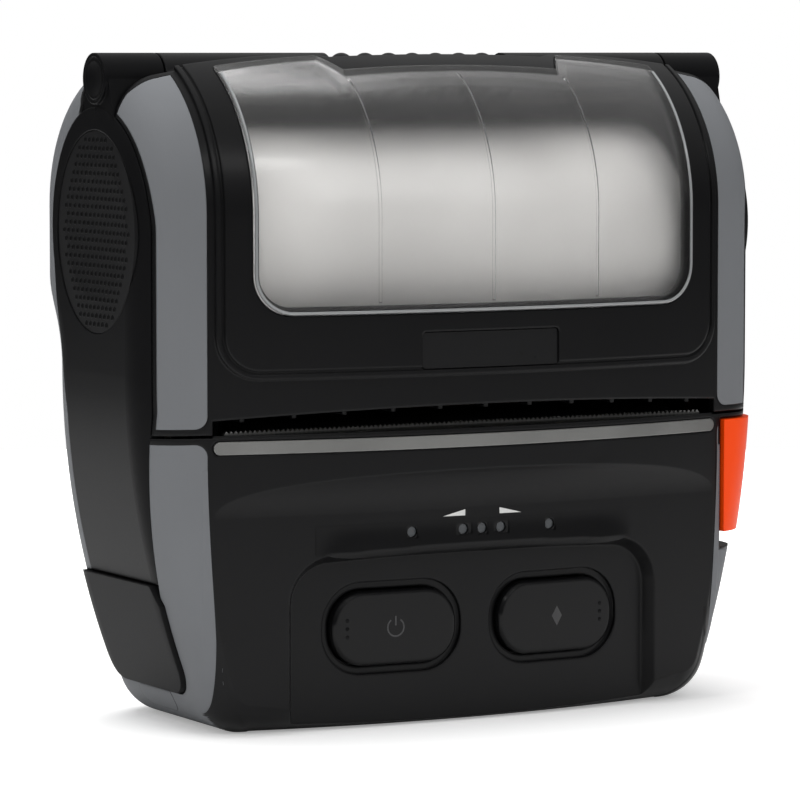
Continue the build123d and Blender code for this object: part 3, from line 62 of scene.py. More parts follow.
# Where rays start, clear of the printer on every side.
FAR_MM = 100.0
# Size of the soft patches in the tone of a finish.
CLOUD_MM = 28.0
COAT_ROUGHNESS = 0.12
BEVEL_SAMPLES = 6
# Colour sockets of the Mix node, which share their names with its other sockets.
MIX_FACTOR, MIX_A, MIX_B, MIX_RESULT = 0, 6, 7, 2
RIGHT = Vector((1, 0, 0))
BACK = Vector((0, 1, 0))


class Body(Enum):
    """Moving bodies that scene pieces ride on."""

    CASE = "case"
    COVER = "paper_cover_body"
    POWER = "power_button_body"
    FEED = "feed_button_body"


def linear(hex_colour: str) -> tuple[float, float, float, float]:
    """Turns an sRGB hex colour to linear light.

    Args:
        hex_colour: Colour such as "#1d1d1e".

    Returns:
        Linear red, green, blue and an alpha of 1.
    """
    values = [int(hex_colour[i:i + 2], 16) / 255 for i in (1, 3, 5)]
    return (*[v / 12.92 if v <= 0.04045 else ((v + 0.055) / 1.055) ** 2.4 for v in values], 1.0)


def add_node(tree: bpy.types.NodeTree, kind: str,
             links: dict[str | int, bpy.types.NodeSocket] | None = None,
             inputs: dict[str | int, object] | None = None, **settings: object) -> bpy.types.Node:
    """Adds a node with its settings, input values and links.

    Args:
        tree: Node tree that gets the node.
        kind: Blender's name of the node type.
        links: Input name or number to the output socket that feeds it.
        inputs: Input name or number to its plain value.
        **settings: Attributes of the node itself.

    Returns:
        The new node.
    """
    node = tree.nodes.new(kind)
    for name, value in settings.items():
        setattr(node, name, value)
    for name, value in (inputs or {}).items():
        node.inputs[name].default_value = value
    for name, socket in (links or {}).items():
        tree.links.new(socket, node.inputs[name])
    return node


@dataclass(frozen=True)
class Finish:
    """Surface of one real material, on Object coordinates."""

    name: str
    colour: str
    roughness: float
    metallic: float = 0.0
    ior: float = 1.5
    grain_mm: float = 0.5
    grain_height_mm: float = 0.01
    colour_shift: float = 0.06
    roughness_shift: float = 0.05
    stretch: tuple[float, float, float] = (1.0, 1.0, 1.0)
    coat: float = 0.0
    transmission: float = 0.0
    specular: float = 0.5
    edge_mm: float = 0.0

    def material(self) -> bpy.types.Material:
        """Makes the finish's material, or returns the one made before.

        Returns:
            The material.
        """
        made = bpy.data.materials.get(self.name)
        if made:
            return made
        material = bpy.data.materials.new(self.name)
        material.use_nodes = True
        tree = material.node_tree
        tree.nodes.clear()
        output = add_node(tree, "ShaderNodeOutputMaterial")
        shader = add_node(tree, "ShaderNodeBsdfPrincipled", inputs={
            "Metallic": self.metallic, "IOR": self.ior, "Coat Weight": self.coat,
            "Coat Roughness": COAT_ROUGHNESS, "Transmission Weight": self.transmission,
            "Specular IOR Level": self.specular})
        coords = add_node(tree, "ShaderNodeTexCoord")
        place = add_node(tree, "ShaderNodeMapping", {"Vector": coords.outputs["Object"]},
                         {"Scale": self.stretch})
        grain = add_node(tree, "ShaderNodeTexNoise", {"Vector": place.outputs[0]},
                         {"Scale": 1 / (self.grain_mm * MM), "Detail": 3.0, "Roughness": 0.6})
        cloud = add_node(tree, "ShaderNodeTexNoise", {"Vector": coords.outputs["Object"]},
                         {"Scale": 1 / (CLOUD_MM * MM), "Detail": 2.0})
        tone = add_node(tree, "ShaderNodeMapRange", {"Value": cloud.outputs["Fac"]},
                        {"From Min": 0.3, "From Max": 0.7, "To Min": 1 - self.colour_shift,
                         "To Max": 1 + self.colour_shift})
        tint = add_node(tree, "ShaderNodeMix", data_type="RGBA", blend_type="MULTIPLY")
        tint.inputs[MIX_FACTOR].default_value = 1.0
        tint.inputs[MIX_A].default_value = linear(self.colour)
        tree.links.new(tone.outputs[0], tint.inputs[MIX_B])
        rough = add_node(tree, "ShaderNodeMapRange", {"Value": grain.outputs["Fac"]},
                         {"To Min": max(0.02, self.roughness - self.roughness_shift),
                          "To Max": min(1.0, self.roughness + self.roughness_shift)})
        bump = add_node(tree, "ShaderNodeBump", {"Height": grain.outputs["Fac"]},
                        {"Strength": 0.6, "Distance": self.grain_height_mm * MM})
        if self.edge_mm:
            edge = add_node(tree, "ShaderNodeBevel", inputs={"Radius": self.edge_mm * MM},
                            samples=BEVEL_SAMPLES)
            tree.links.new(edge.outputs[0], bump.inputs["Normal"])
        tree.links.new(tint.outputs[MIX_RESULT], shader.inputs["Base Color"])
        tree.links.new(rough.outputs[0], shader.inputs["Roughness"])
        tree.links.new(bump.outputs[0], shader.inputs["Normal"])
        tree.links.new(shader.outputs[0], output.inputs[0])
        return material


# Injection-moulded ABS with a fine spark-eroded grain: soft, slightly blurred highlights on its edges.
BLACK_ABS = Finish("black_abs", "#101011", 0.3, grain_mm=0.45, grain_height_mm=0.012, specular=0.2,
                   edge_mm=0.7)
# The same ABS in the smoother, deeper black side panels.
SMOOTH_ABS = Finish("smooth_black_abs", "#101011", 0.34, grain_mm=0.6, grain_height_mm=0.006,
                    specular=0.09, edge_mm=0.4)
# Matt, more deeply textured ABS of the dimpled side discs.
DISC_ABS = Finish("textured_disc_abs", "#151516", 0.5, grain_mm=0.4, grain_height_mm=0.015,
                  specular=0.15)
# Soft-touch grey bumper plastic: matte, with an even grain.
GREY_BUMPER = Finish("grey_bumper", "#6f7174", 0.6, grain_mm=0.4, grain_height_mm=0.015,
                     colour_shift=0.03, specular=0.3, edge_mm=0.4)
# Glossier moulded plastic of the release lever.
ORANGE_ABS = Finish("orange_abs", "#ff4a00", 0.38, grain_mm=0.5, grain_height_mm=0.006,
                    colour_shift=0.03, specular=0.2, edge_mm=0.3)
# Smooth, glossy moulded plastic of the button caps, with softly rounded rims.
BUTTON_CAP = Finish("button_cap", "#0d0d0e", 0.18, grain_mm=0.5, grain_height_mm=0.005, specular=0.2,
                    edge_mm=0.7)
# Smooth dark plastic of the plate under the window.
DARK_PLATE = Finish("dark_plate", "#121213", 0.3, grain_mm=1.0, grain_height_mm=0.003, specular=0.3,
                    edge_mm=0.2)
# Stamped stainless steel with lengthwise grinding marks.
GROUND_STEEL = Finish("ground_steel", "#a4a4a2", 0.4, 1.0, grain_mm=0.25, grain_height_mm=0.01,
                      stretch=(0.05, 1.0, 1.0), colour_shift=0.05)
# Satin stainless guide strip, duller than the blade.
SATIN_STEEL = Finish("satin_steel", "#8c8c8a", 0.5, 1.0, grain_mm=0.5, grain_height_mm=0.01,
                     stretch=(0.3, 1.0, 1.0), colour_shift=0.1, edge_mm=0.3)
# Pressed steel sheet with a dark phosphate coat.
DARK_STEEL = Finish("phosphated_steel", "#2c2c2e", 0.5, 0.6, grain_mm=0.3, grain_height_mm=0.008)
# Turned steel shafts and pins.
TURNED_STEEL = Finish("turned_steel", "#c2c2c0", 0.25, 1.0, grain_mm=0.2, grain_height_mm=0.004)
# Blackened machine screws.
BLACK_STEEL = Finish("blackened_steel", "#3c3c3e", 0.4, 1.0, grain_mm=0.3, grain_height_mm=0.006)
# Nitrile rubber: dull and slightly grey.
BLACK_RUBBER = Finish("black_rubber", "#171718", 0.5, grain_mm=0.4, grain_height_mm=0.015, specular=0.1,
                      edge_mm=0.5)
# Extruded aluminium of the heat sink.
SINK_ALUMINIUM = Finish("extruded_aluminium", "#b9bbbd", 0.35, 1.0, grain_mm=0.3,
                        stretch=(0.06, 1.0, 1.0))
# Glazed alumina heater plate.
HEAD_CERAMIC = Finish("glazed_alumina", "#d8cfbb", 0.25, grain_mm=0.6, grain_height_mm=0.003, coat=0.4)
# White acetal gears: waxy, slightly blurred highlights.
ACETAL = Finish("white_acetal", "#dedcd4", 0.4, grain_mm=0.5, grain_height_mm=0.005, colour_shift=0.02)
# Turned brass pinion.
BRASS = Finish("turned_brass", "#c8a04a", 0.28, 1.0, grain_mm=0.2, grain_height_mm=0.004)
# Solder-masked glass-fibre board.
BOARD = Finish("solder_mask", "#17472b", 0.35, grain_mm=0.7, grain_height_mm=0.008)
# Moulded epoxy chips and plug bodies.
CHIP = Finish("moulded_epoxy", "#141415", 0.5, grain_mm=0.3)
# Smoked acrylic light pipes, dark while the lights are off.
LIGHT_PIPE = Finish("smoked_acrylic", "#46494c", 0.25, ior=1.49, grain_height_mm=0.002)
# Zinc-plated motor can.
MOTOR_CAN = Finish("zinc_plated_steel", "#8e9193", 0.35, 1.0, grain_mm=0.3)
# Textured ABS battery housing.
PACK_ABS = Finish("battery_abs", "#1d1d1e", 0.5, grain_mm=0.5, grain_height_mm=0.016, specular=0.35,
                  edge_mm=0.4)
# Coated thermal paper: bright, smooth and dull.
THERMAL_PAPER = Finish("thermal_paper", "#efefec", 0.55, grain_mm=0.35, grain_height_mm=0.006,
                       colour_shift=0.02)
# Grey-brown spiral-wound core board.
CORE_BOARD = Finish("core_board", "#a98758", 0.8, grain_mm=0.5, grain_height_mm=0.03)
# White pad-printed ink marks.
WHITE_INK = Finish("white_ink", "#d6d6d4", 0.5, grain_mm=0.3, grain_height_mm=0.002, colour_shift=0.02)
# Dark grey pad-printed symbols on the button caps.
GREY_INK = Finish("grey_ink", "#3a3a3b", 0.5, grain_mm=0.3, grain_height_mm=0.002, colour_shift=0.02)
# Painted shade: flat near-black discs stand in for the shade deep inside small dimples.
DIMPLE_SHADE = Finish("dimple_shade", "#050505", 0.8, grain_mm=0.3, grain_height_mm=0.002, specular=0.1)
# Clear polycarbonate window with a fine matt inside, which blurs what lies behind it.
WINDOW_PC = Finish("frosted_polycarbonate", "#eeeded", 0.17, ior=1.45, transmission=1.0, grain_mm=2.5,
                   grain_height_mm=0.002, roughness_shift=0.03, specular=0.2, edge_mm=0.3)
# Painted highlight: an opaque pale grey bead stands in for the light that the window's clear edge
# gathers from the whole pane.
PAINTED_EDGE_HIGHLIGHT = Finish("clear_edge_painted_highlight", "#8d8f90", 0.18, ior=1.58, grain_height_mm=0.002, coat=0.5)

NODE_FINISHES: dict[Finish, tuple[str, ...]] = {
    BLACK_ABS: ("front_case", "rear_case", "paper_cover", "latch_bar", "battery_latch", "paper_tray",
                "paper_guide"),
    SMOOTH_ABS: ("left_side_panel", "right_side_panel", "left_hinge_cap", "right_hinge_cap"),
    DISC_ABS: ("left_side_disc", "right_side_disc"),
    GREY_BUMPER: ("rear_band_left", "rear_band_right", "front_band_left", "front_band_right",
                  "cover_band_left", "cover_band_right"),
    ORANGE_ABS: ("release_lever",),
    BUTTON_CAP: ("power_button", "feed_button"),
    DARK_PLATE: ("name_plate",),
    GROUND_STEEL: ("tear_bar", "head_spring", "usb_port", "lever_spring"),
    SATIN_STEEL: ("guide_strip",),
    DARK_STEEL: ("print_frame",),
    TURNED_STEEL: ("hinge_pin", "platen_shaft", "gear_pins"),
    BLACK_STEEL: ("case_screws",),
    BLACK_RUBBER: ("port_cover", "platen_roller"),
    SINK_ALUMINIUM: ("heat_sink",),
    HEAD_CERAMIC: ("print_head",),
    ACETAL: ("platen_gear", "platen_bushes", "idler_gear", "lower_gear"),
    BRASS: ("motor_pinion",),
    BOARD: ("main_board",),
    CHIP: ("board_parts", "button_switches", "power_jack"),
    LIGHT_PIPE: ("status_lights",),
    MOTOR_CAN: ("stepper_motor",),
    PACK_ABS: ("battery_pack",),
    THERMAL_PAPER: ("paper_roll",),
    CORE_BOARD: ("paper_core",),
    WINDOW_PC: ("cover_window",),
}


def mesh_object(name: str, bm: bmesh.types.BMesh, finish: Finish) -> bpy.types.Object:
    """Turns a bmesh into an object in the scene.

    Args:
        name: Name of the piece.
        bm: Mesh in metres; it is freed.
        finish: Its finish.

    Returns:
        The new object.
    """
    mesh = bpy.data.meshes.new(name)
    bm.to_mesh(mesh)
    bm.free()
    mesh.materials.append(finish.material())
    piece = bpy.data.objects.new(name, mesh)
    bpy.context.scene.collection.objects.link(piece)
    return piece


def tube(name: str, points: list[Vector], radius: float, finish: Finish) -> bpy.types.Object:
    """Makes a round wire along a line of points.

    Args:
        name: Name of the piece.
        points: Points in metres.
        radius: Radius in millimetres.
        finish: Its finish.

    Returns:
        The wire as a plain mesh.
    """
    curve = bpy.data.curves.new(name, "CURVE")
    curve.dimensions = "3D"
    curve.bevel_depth = radius * MM
    curve.bevel_resolution = 2
    curve.use_fill_caps = True
    line = curve.splines.new("POLY")
    line.points.add(len(points) - 1)
    for spot, point in zip(line.points, points):
        spot.co = (*point, 1)
    maker = bpy.data.objects.new(f"{name}_maker", curve)
    bpy.context.scene.collection.objects.link(maker)
    graph = bpy.context.evaluated_depsgraph_get()
    mesh = bpy.data.meshes.new_from_object(maker.evaluated_get(graph))
    bpy.data.objects.remove(maker)
    mesh.materials.clear()
    mesh.materials.append(finish.material())
    mesh.shade_smooth()
    piece = bpy.data.objects.new(name, mesh)
    bpy.context.scene.collection.objects.link(piece)
    return piece


def drop_on(node: bpy.types.Object, start: Vector, way: Vector) -> tuple[Vector, Vector]:
    """Finds where a ray meets a CAD node.

    Args:
        node: Object of the node.
        start: Start of the ray, in metres.
        way: Direction of the ray.

    Returns:
        The point and the normal there; the start and the reversed way if nothing is met.
    """
    hit, point, normal, _ = node.ray_cast(start, way)
    return (point, normal) if hit else (start, -way)


@dataclass
class SkinPatch:
    """Thin skin laid on the outer surface of some CAD nodes, as rows of (height, start, end)."""

    name: str
    nodes: tuple[str, ...]
    rows: list[tuple[float, float, float]]
    finish: Finish
    from_left: bool = False
    columns: int = 24
    lift: float = 0.1
    swell: float = 0.0
    fade: float = 8.0
    tuck: float = 0.6
    tuck_end: bool = True

    def rise(self, row: int, across: float) -> float:
        """Finds the lift at a place: the swell is full at the lowest row and fades to the top and ends.

        Args:
            row: Number of the row, from the lowest.
            across: Place along the row, in millimetres.

        Returns:
            Lift in millimetres; it falls to nothing at the tucked end.
        """
        height, start, end = self.rows[row]
        up = (height - self.rows[0][0]) / (self.rows[-1][0] - self.rows[0][0])
        side = min(1.0, abs(across - start) / self.fade, abs(end - across) / self.fade)
        tucked = min(1.0, abs((across - (end if self.tuck_end else start)) / self.tuck))
        return self.lift * tucked + self.swell * (1 - up) ** 2 * side

    def build(self, nodes: dict[str, bpy.types.Object]) -> bpy.types.Object:
        """Lays the rows on the surface.

        Args:
            nodes: CAD node objects by name.

        Returns:
            The patch.
        """
        bm = bmesh.new()
        way = RIGHT if self.from_left else BACK
        grid = []
        for row, (height, first, last) in enumerate(self.rows):
            line = []
            for column in range(self.columns + 1):
                across = first + (last - first) * column / self.columns
                place = (-FAR_MM, across, height) if self.from_left else (across, -FAR_MM, height)
                start = Vector(place) * MM
                # A miss comes back at the start itself.
                met = [hit for hit in (drop_on(nodes[name], start, way) for name in self.nodes)
                       if (hit[0] - start).length > MM]
                if met:
                    point, normal = min(met, key=lambda hit: (hit[0] - start).length)
                    line.append(bm.verts.new(point + normal * self.rise(row, across) * MM))
                else:
                    line.append(None)
            grid.append(line)
        for low, high in zip(grid, grid[1:]):
            for column in range(self.columns):
                corners = (low[column], low[column + 1], high[column + 1], high[column])
                if all(corners):
                    bm.faces.new(corners)
        bm.normal_update()
        for face in bm.faces:
            face.smooth = True
            if face.normal.dot(way) > 0:
                face.normal_flip()
        return mesh_object(self.name, bm, self.finish)


@dataclass
class CaseSkins:
    """Skins that finish the lower case: the line of the grey bands, the notch and the brow."""

    edge: float = 62.5
    overlap: float = 1.0
    drift: float = 1.8
    bend: float = 1.5
    meet: float = 20.4
    straight: float = 56.0
    settle: float = 0.5
    band_low: float = 12.0
    band_steps: int = 30
    foot_low: float = 0.2
    foot_steps: int = 48
    foot_lift: float = 0.14
    arc_across: float = 58.7
    arc_turn: float = 15.0
    arc_radius: float = 17.0
    round_steps: int = 16
    notch_y: float = 1.0
    notch_z: float = 6.2
    notch_reach: float = 7.9
    notch_radius: float = 2.9
    notch_lift: float = 0.05
    brow_low: float = 37.3
    brow_high: float = 43.5
    brow_half: float = 39.0
    brow_swell: float = 0.9

    def line(self, height: float) -> float:
        """Follows the bands' inner edge.

        Args:
            height: Height in millimetres.

        Returns:
            Distance of the edge from the middle.
        """
        if height >= self.meet:
            fallen = (self.straight - height) / (self.straight - self.meet)
            return self.edge - self.drift * fallen ** self.bend
        return self.edge - self.drift - self.settle * math.sin(math.pi / 2 * (1 - height / self.meet))

    def cover_to(self, height: float) -> float:
        """Finds how far inwards the black skin has to reach to cover the band's arc.

        Args:
            height: Height in millimetres.

        Returns:
            Distance of the skin's inner edge from the middle.
        """
        fall = max(0.0, self.arc_turn - height)
        return self.arc_across - (self.arc_radius - math.sqrt(self.arc_radius ** 2 - fall ** 2))

    def band_edge(self, side: int, name: str) -> SkinPatch:
        """Carries a grey band on to its smooth inner edge.

        Args:
            side: -1 for the left and 1 for the right.
            name: Name of the side.

        Returns:
            The patch.
        """
        rows = []
        for step in range(self.band_steps + 1):
            height = self.band_low + (self.straight - self.band_low) * step / self.band_steps
            rows.append((height, side * (self.edge + self.overlap), side * self.line(height)))
        return SkinPatch(f"band_edge_{name}", ("front_case", f"front_band_{name}"), rows, GREY_BUMPER,
                         columns=8, tuck_end=False)

    def foot_corner(self, side: int, name: str) -> SkinPatch:
        """Covers the widened foot of a grey band, with rows that crowd towards the base.

        Args:
            side: -1 for the left and 1 for the right.
            name: Name of the side.

        Returns:
            The patch.
        """
        rows = []
        for step in range(self.foot_steps + 1):
            height = self.foot_low + (self.meet - self.foot_low) * (step / self.foot_steps) ** 2
            rows.append((height, side * self.line(height), side * self.cover_to(height)))
        return SkinPatch(f"foot_corner_{name}", ("front_case", f"front_band_{name}"), rows, BLACK_ABS,
                         lift=self.foot_lift)

    def pocket_brow(self) -> SkinPatch:
        """Swells the case softly above the button pocket.

        Returns:
            The patch.
        """
        rows = [(self.brow_low + (self.brow_high - self.brow_low) * step / self.round_steps,
                 -self.brow_half, self.brow_half) for step in range(self.round_steps + 1)]
        return SkinPatch("pocket_brow", ("front_case",), rows, BLACK_ABS, columns=60,
                         swell=self.brow_swell)

    def finger_notch(self) -> SkinPatch:
        """Lays grey in the rounded notch under the flap.

        Returns:
            The patch.
        """
        rows = []
        for step in range(self.round_steps + 1):
            turn = math.pi * (step / self.round_steps - 0.5)
            wide = self.notch_reach - self.notch_radius * (1 - math.cos(turn))
            rows.append((self.notch_z + self.notch_radius * math.sin(turn),
                         self.notch_y - wide, self.notch_y + wide))
        return SkinPatch("finger_notch_skin", ("front_case", "rear_case"), rows, GREY_BUMPER,
                         from_left=True, lift=self.notch_lift)

    def patches(self) -> Iterable[tuple[SkinPatch, str]]:
        """Lists the patches with their slots.

        Returns:
            Pairs of a patch and its slot.
        """
        for side, name in ((-1, "left"), (1, "right")):
            yield self.band_edge(side, name), "band_grey"
            yield self.foot_corner(side, name), "case_black"
        yield self.pocket_brow(), "case_black"
        yield self.finger_notch(), "band_grey"


@dataclass
class WindowBead:
    """Bead that runs round the window of the cover; its pale grey colour is a painted highlight of the
    bright clear edge.
    """

    half_width: float = 53.0
    low: float = 88.2
    corner: float = 8.0
    centre_y: float = 0.0
    centre_z: float = 96.2
    top_turn: float = 72.0
    thickness: float = 0.34
    top_steps: int = 30
    corner_steps: int = 12
    base_steps: int = 15

    def path(self, window: bpy.types.Object) -> list[Vector]:
        """Follows the window's edge from the top left, along the bottom and up to the top right.

        Args:
            window: Object of the window.

        Returns:
            Points in metres.
        """
        points = []
        for step in range(self.top_steps):
            turn = math.radians(self.top_turn * (1 - step / self.top_steps))
            out = Vector((0, -math.cos(turn), math.sin(turn)))
            start = Vector((-self.half_width, self.centre_y, self.centre_z)) * MM + out * (FAR_MM * MM)
            points.append(drop_on(window, start, -out)[0])
        for step in range(self.corner_steps + 1):
            turn = math.radians(90 * step / self.corner_steps)
            x = -self.half_width + self.corner * (1 - math.cos(turn))
            z = self.low + self.corner * (1 - math.sin(turn))
            points.append(drop_on(window, Vector((x, -FAR_MM, z)) * MM, BACK)[0])
        reach = self.half_width - self.corner
        for step in range(1, self.base_steps + 1):
            x = -reach + reach * step / self.base_steps
            points.append(drop_on(window, Vector((x, -FAR_MM, self.low)) * MM, BACK)[0])
        return points + [Vector((-p.x, p.y, p.z)) for p in points[-2::-1]]

    def build(self, nodes: dict[str, bpy.types.Object]) -> bpy.types.Object:
        """Makes the bead.

        Args:
            nodes: CAD node objects by name.

        Returns:
            The bead's mesh.
        """
        return tube("window_bead", self.path(nodes["cover_window"]), self.thickness, PAINTED_EDGE_HIGHLIGHT)


def add_maths(tree: bpy.types.NodeTree, operation: str,
              *values: bpy.types.NodeSocket | float) -> bpy.types.NodeSocket:
    """Adds a Math node for sockets and plain numbers.

    Args:
        tree: Node tree that gets the node.
        operation: Blender's name of the operation.
        *values: Output sockets or numbers, in the order of the inputs.

    Returns:
        The node's result.
    """
    links = {i: v for i, v in enumerate(values) if isinstance(v, bpy.types.NodeSocket)}
    plain = {i: v for i, v in enumerate(values) if not isinstance(v, bpy.types.NodeSocket)}
    return add_node(tree, "ShaderNodeMath", links, plain, operation=operation).outputs[0]


@dataclass
class DimpleDisc:
    """Staggered rows of small round dimples that fill a side disc, each a raised rim round a flat disc
    of painted shade.
    """

    side: int
    node: str
    centre_y: float = 0.6
    centre_z: float = 104.5
    half_depth: float = 15.6
    half_height: float = 20.4
    pitch: float = 1.95
    row_pitch: float = 1.75
    dot_radius: float = 0.52
    rim: float = 0.11
    sunk: float = 0.02
    dot_corners: int = 10
    rim_corners: int = 4

    def tree(self) -> tuple[bpy.types.NodeTree, dict[str, str]]:
        """Builds the node tree of the rows.

        Returns:
            The tree, and the identifier of each named input.
        """
        tree = bpy.data.node_groups.new(f"{self.node}_dimple_tree", "GeometryNodeTree")
        sockets = {}
        for name in ("Columns", "Rows", "Pitch", "Row pitch", "Half depth", "Half height", "Dot radius",
                     "Rim"):
            kind = "NodeSocketInt" if name in ("Columns", "Rows") else "NodeSocketFloat"
            socket = tree.interface.new_socket(name=name, in_out="INPUT", socket_type=kind)
            sockets[name] = socket.identifier
        tree.interface.new_socket(name="Geometry", in_out="OUTPUT", socket_type="NodeSocketGeometry")
        given = add_node(tree, "NodeGroupInput").outputs

        columns = add_maths(tree, "SUBTRACT", given["Columns"], 1.0)
        wide = add_maths(tree, "MULTIPLY", columns, given["Pitch"])
        rows = add_maths(tree, "SUBTRACT", given["Rows"], 1.0)
        tall = add_maths(tree, "MULTIPLY", rows, given["Row pitch"])
        grid = add_node(tree, "GeometryNodeMeshGrid", {"Size X": wide, "Size Y": tall,
                        "Vertices X": given["Columns"], "Vertices Y": given["Rows"]})
        index = add_node(tree, "GeometryNodeInputIndex").outputs[0]
        row = add_maths(tree, "MODULO", index, given["Rows"])
        odd = add_maths(tree, "MODULO", row, 2.0)
        half_pitch = add_maths(tree, "MULTIPLY", given["Pitch"], 0.5)
        shift = add_node(tree, "ShaderNodeCombineXYZ", {0: add_maths(tree, "MULTIPLY", odd, half_pitch)})
        moved = add_node(tree, "GeometryNodeSetPosition", {"Geometry": grid.outputs[0],
                         "Offset": shift.outputs[0]})
        spot = add_node(tree, "GeometryNodeInputPosition")
        place = add_node(tree, "ShaderNodeSeparateXYZ", {0: spot.outputs[0]})
        across = add_maths(tree, "DIVIDE", place.outputs[0], given["Half depth"])
        upward = add_maths(tree, "DIVIDE", place.outputs[1], given["Half height"])
        reach = add_maths(tree, "ADD", add_maths(tree, "MULTIPLY", across, across),
                          add_maths(tree, "MULTIPLY", upward, upward))
        kept = add_node(tree, "GeometryNodeDeleteGeometry", {"Geometry": moved.outputs[0],
                        "Selection": add_maths(tree, "GREATER_THAN", reach, 1.0)})
        points = add_node(tree, "GeometryNodeMeshToPoints", {"Mesh": kept.outputs[0]})
        # The hollow of each dimple is a flat disc of painted shade, not a cut hole.
        shade = add_node(tree, "GeometryNodeMeshCircle", {"Radius": given["Dot radius"]},
                         {"Vertices": self.dot_corners}, fill_type="NGON")
        dark = add_node(tree, "GeometryNodeSetMaterial", {"Geometry": shade.outputs[0]},
                        {"Material": DIMPLE_SHADE.material()})
        ring = add_node(tree, "GeometryNodeCurvePrimitiveCircle", {"Radius": given["Dot radius"]},
                        {"Resolution": self.dot_corners})
        wire = add_node(tree, "GeometryNodeCurvePrimitiveCircle", {"Radius": given["Rim"]},
                        {"Resolution": self.rim_corners})
        lip = add_node(tree, "GeometryNodeCurveToMesh", {"Curve": ring.outputs[0],
                       "Profile Curve": wire.outputs[0]})
        edge = add_node(tree, "GeometryNodeSetMaterial", {"Geometry": lip.outputs[0]},
                        {"Material": DISC_ABS.material()})
        dot = add_node(tree, "GeometryNodeJoinGeometry")
        for part in (edge, dark):
            tree.links.new(part.outputs[0], dot.inputs[0])
        spread = add_node(tree, "GeometryNodeInstanceOnPoints", {"Points": points.outputs[0],
                          "Instance": dot.outputs[0]})
        real = add_node(tree, "GeometryNodeRealizeInstances", {0: spread.outputs[0]})
        add_node(tree, "NodeGroupOutput", {0: real.outputs[0]})
        return tree, sockets

    def build(self, nodes: dict[str, bpy.types.Object]) -> bpy.types.Object:
        """Makes the dimples and lays them on the disc.

        Args:
            nodes: CAD node objects by name.

        Returns:
            The dimples as one plain mesh.
        """
        tree, sockets = self.tree()
        maker = bpy.data.objects.new(f"{self.node}_dimple_maker", bpy.data.meshes.new("empty_mesh"))
        bpy.context.scene.collection.objects.link(maker)
        modifier = maker.modifiers.new("dimples", "NODES")
        modifier.node_group = tree
        values = {"Columns": 2 * round(self.half_depth / self.pitch) + 1,
                  "Rows": 2 * round(self.half_height / self.row_pitch) + 1,
                  "Pitch": self.pitch * MM, "Row pitch": self.row_pitch * MM,
                  "Half depth": self.half_depth * MM, "Half height": self.half_height * MM,
                  "Dot radius": self.dot_radius * MM, "Rim": self.rim * MM}
        for name, value in values.items():
            modifier[sockets[name]] = value
        graph = bpy.context.evaluated_depsgraph_get()
        mesh = bpy.data.meshes.new_from_object(maker.evaluated_get(graph))
        maker.modifiers.remove(modifier)
        bpy.data.objects.remove(maker)
        disc = nodes[self.node]
        for vertex in mesh.vertices:
            y = self.centre_y * MM + vertex.co.x
            z = self.centre_z * MM + vertex.co.y
            start = Vector((self.side * FAR_MM * MM, y, z))
            point, _ = drop_on(disc, start, -self.side * RIGHT)
            vertex.co = Vector((point.x + self.side * (vertex.co.z + self.sunk * MM), y, z))
        if self.side < 0:
            mesh.flip_normals()
        piece = bpy.data.objects.new(f"{self.node}_dimples", mesh)
        bpy.context.scene.collection.objects.link(piece)
        return piece


@dataclass
class PrintedMark:
    """Flat mark of ink or engraving laid on a front-facing surface."""

    name: str
    outline: list[tuple[float, float]]
    node: str
    finish: Finish
    lift: float = 0.03

    def build(self, nodes: dict[str, bpy.types.Object]) -> bpy.types.Object:
        """Lays the outline on the node.

        Args:
            nodes: CAD node objects by name.

        Returns:
            The mark.
        """
        bm = bmesh.new()
        verts = []
        for x, z in self.outline:
            point, _ = drop_on(nodes[self.node], Vector((x, -FAR_MM, z)) * MM, BACK)
            verts.append(bm.verts.new((point.x, point.y - self.lift * MM, point.z)))
        bm.faces.new(verts)
        bmesh.ops.recalc_face_normals(bm, faces=bm.faces[:])
        for face in bm.faces:
            if face.normal.y > 0:
                face.normal_flip()
        return mesh_object(self.name, bm, self.finish)


def ring_strip(x: float, z: float, radius: float, width: float, start: float, end: float,
               steps: int = 24) -> list[tuple[float, float]]:
    """Outline of an arc-shaped strip.

    Args:
        x: Centre.
        z: Centre height.
        radius: Middle radius.
        width: Width of the strip.
        start: First angle in degrees.
        end: Last angle in degrees.
        steps: Number of points along each side.

    Returns:
        Corner points, outer side first.
    """
    angles = [math.radians(start + (end - start) * i / steps) for i in range(steps + 1)]
    outer, inner = ([(x + reach * math.cos(angle), z + reach * math.sin(angle)) for angle in angles]
                    for reach in (radius + width / 2, radius - width / 2))
    return outer + inner[::-1]


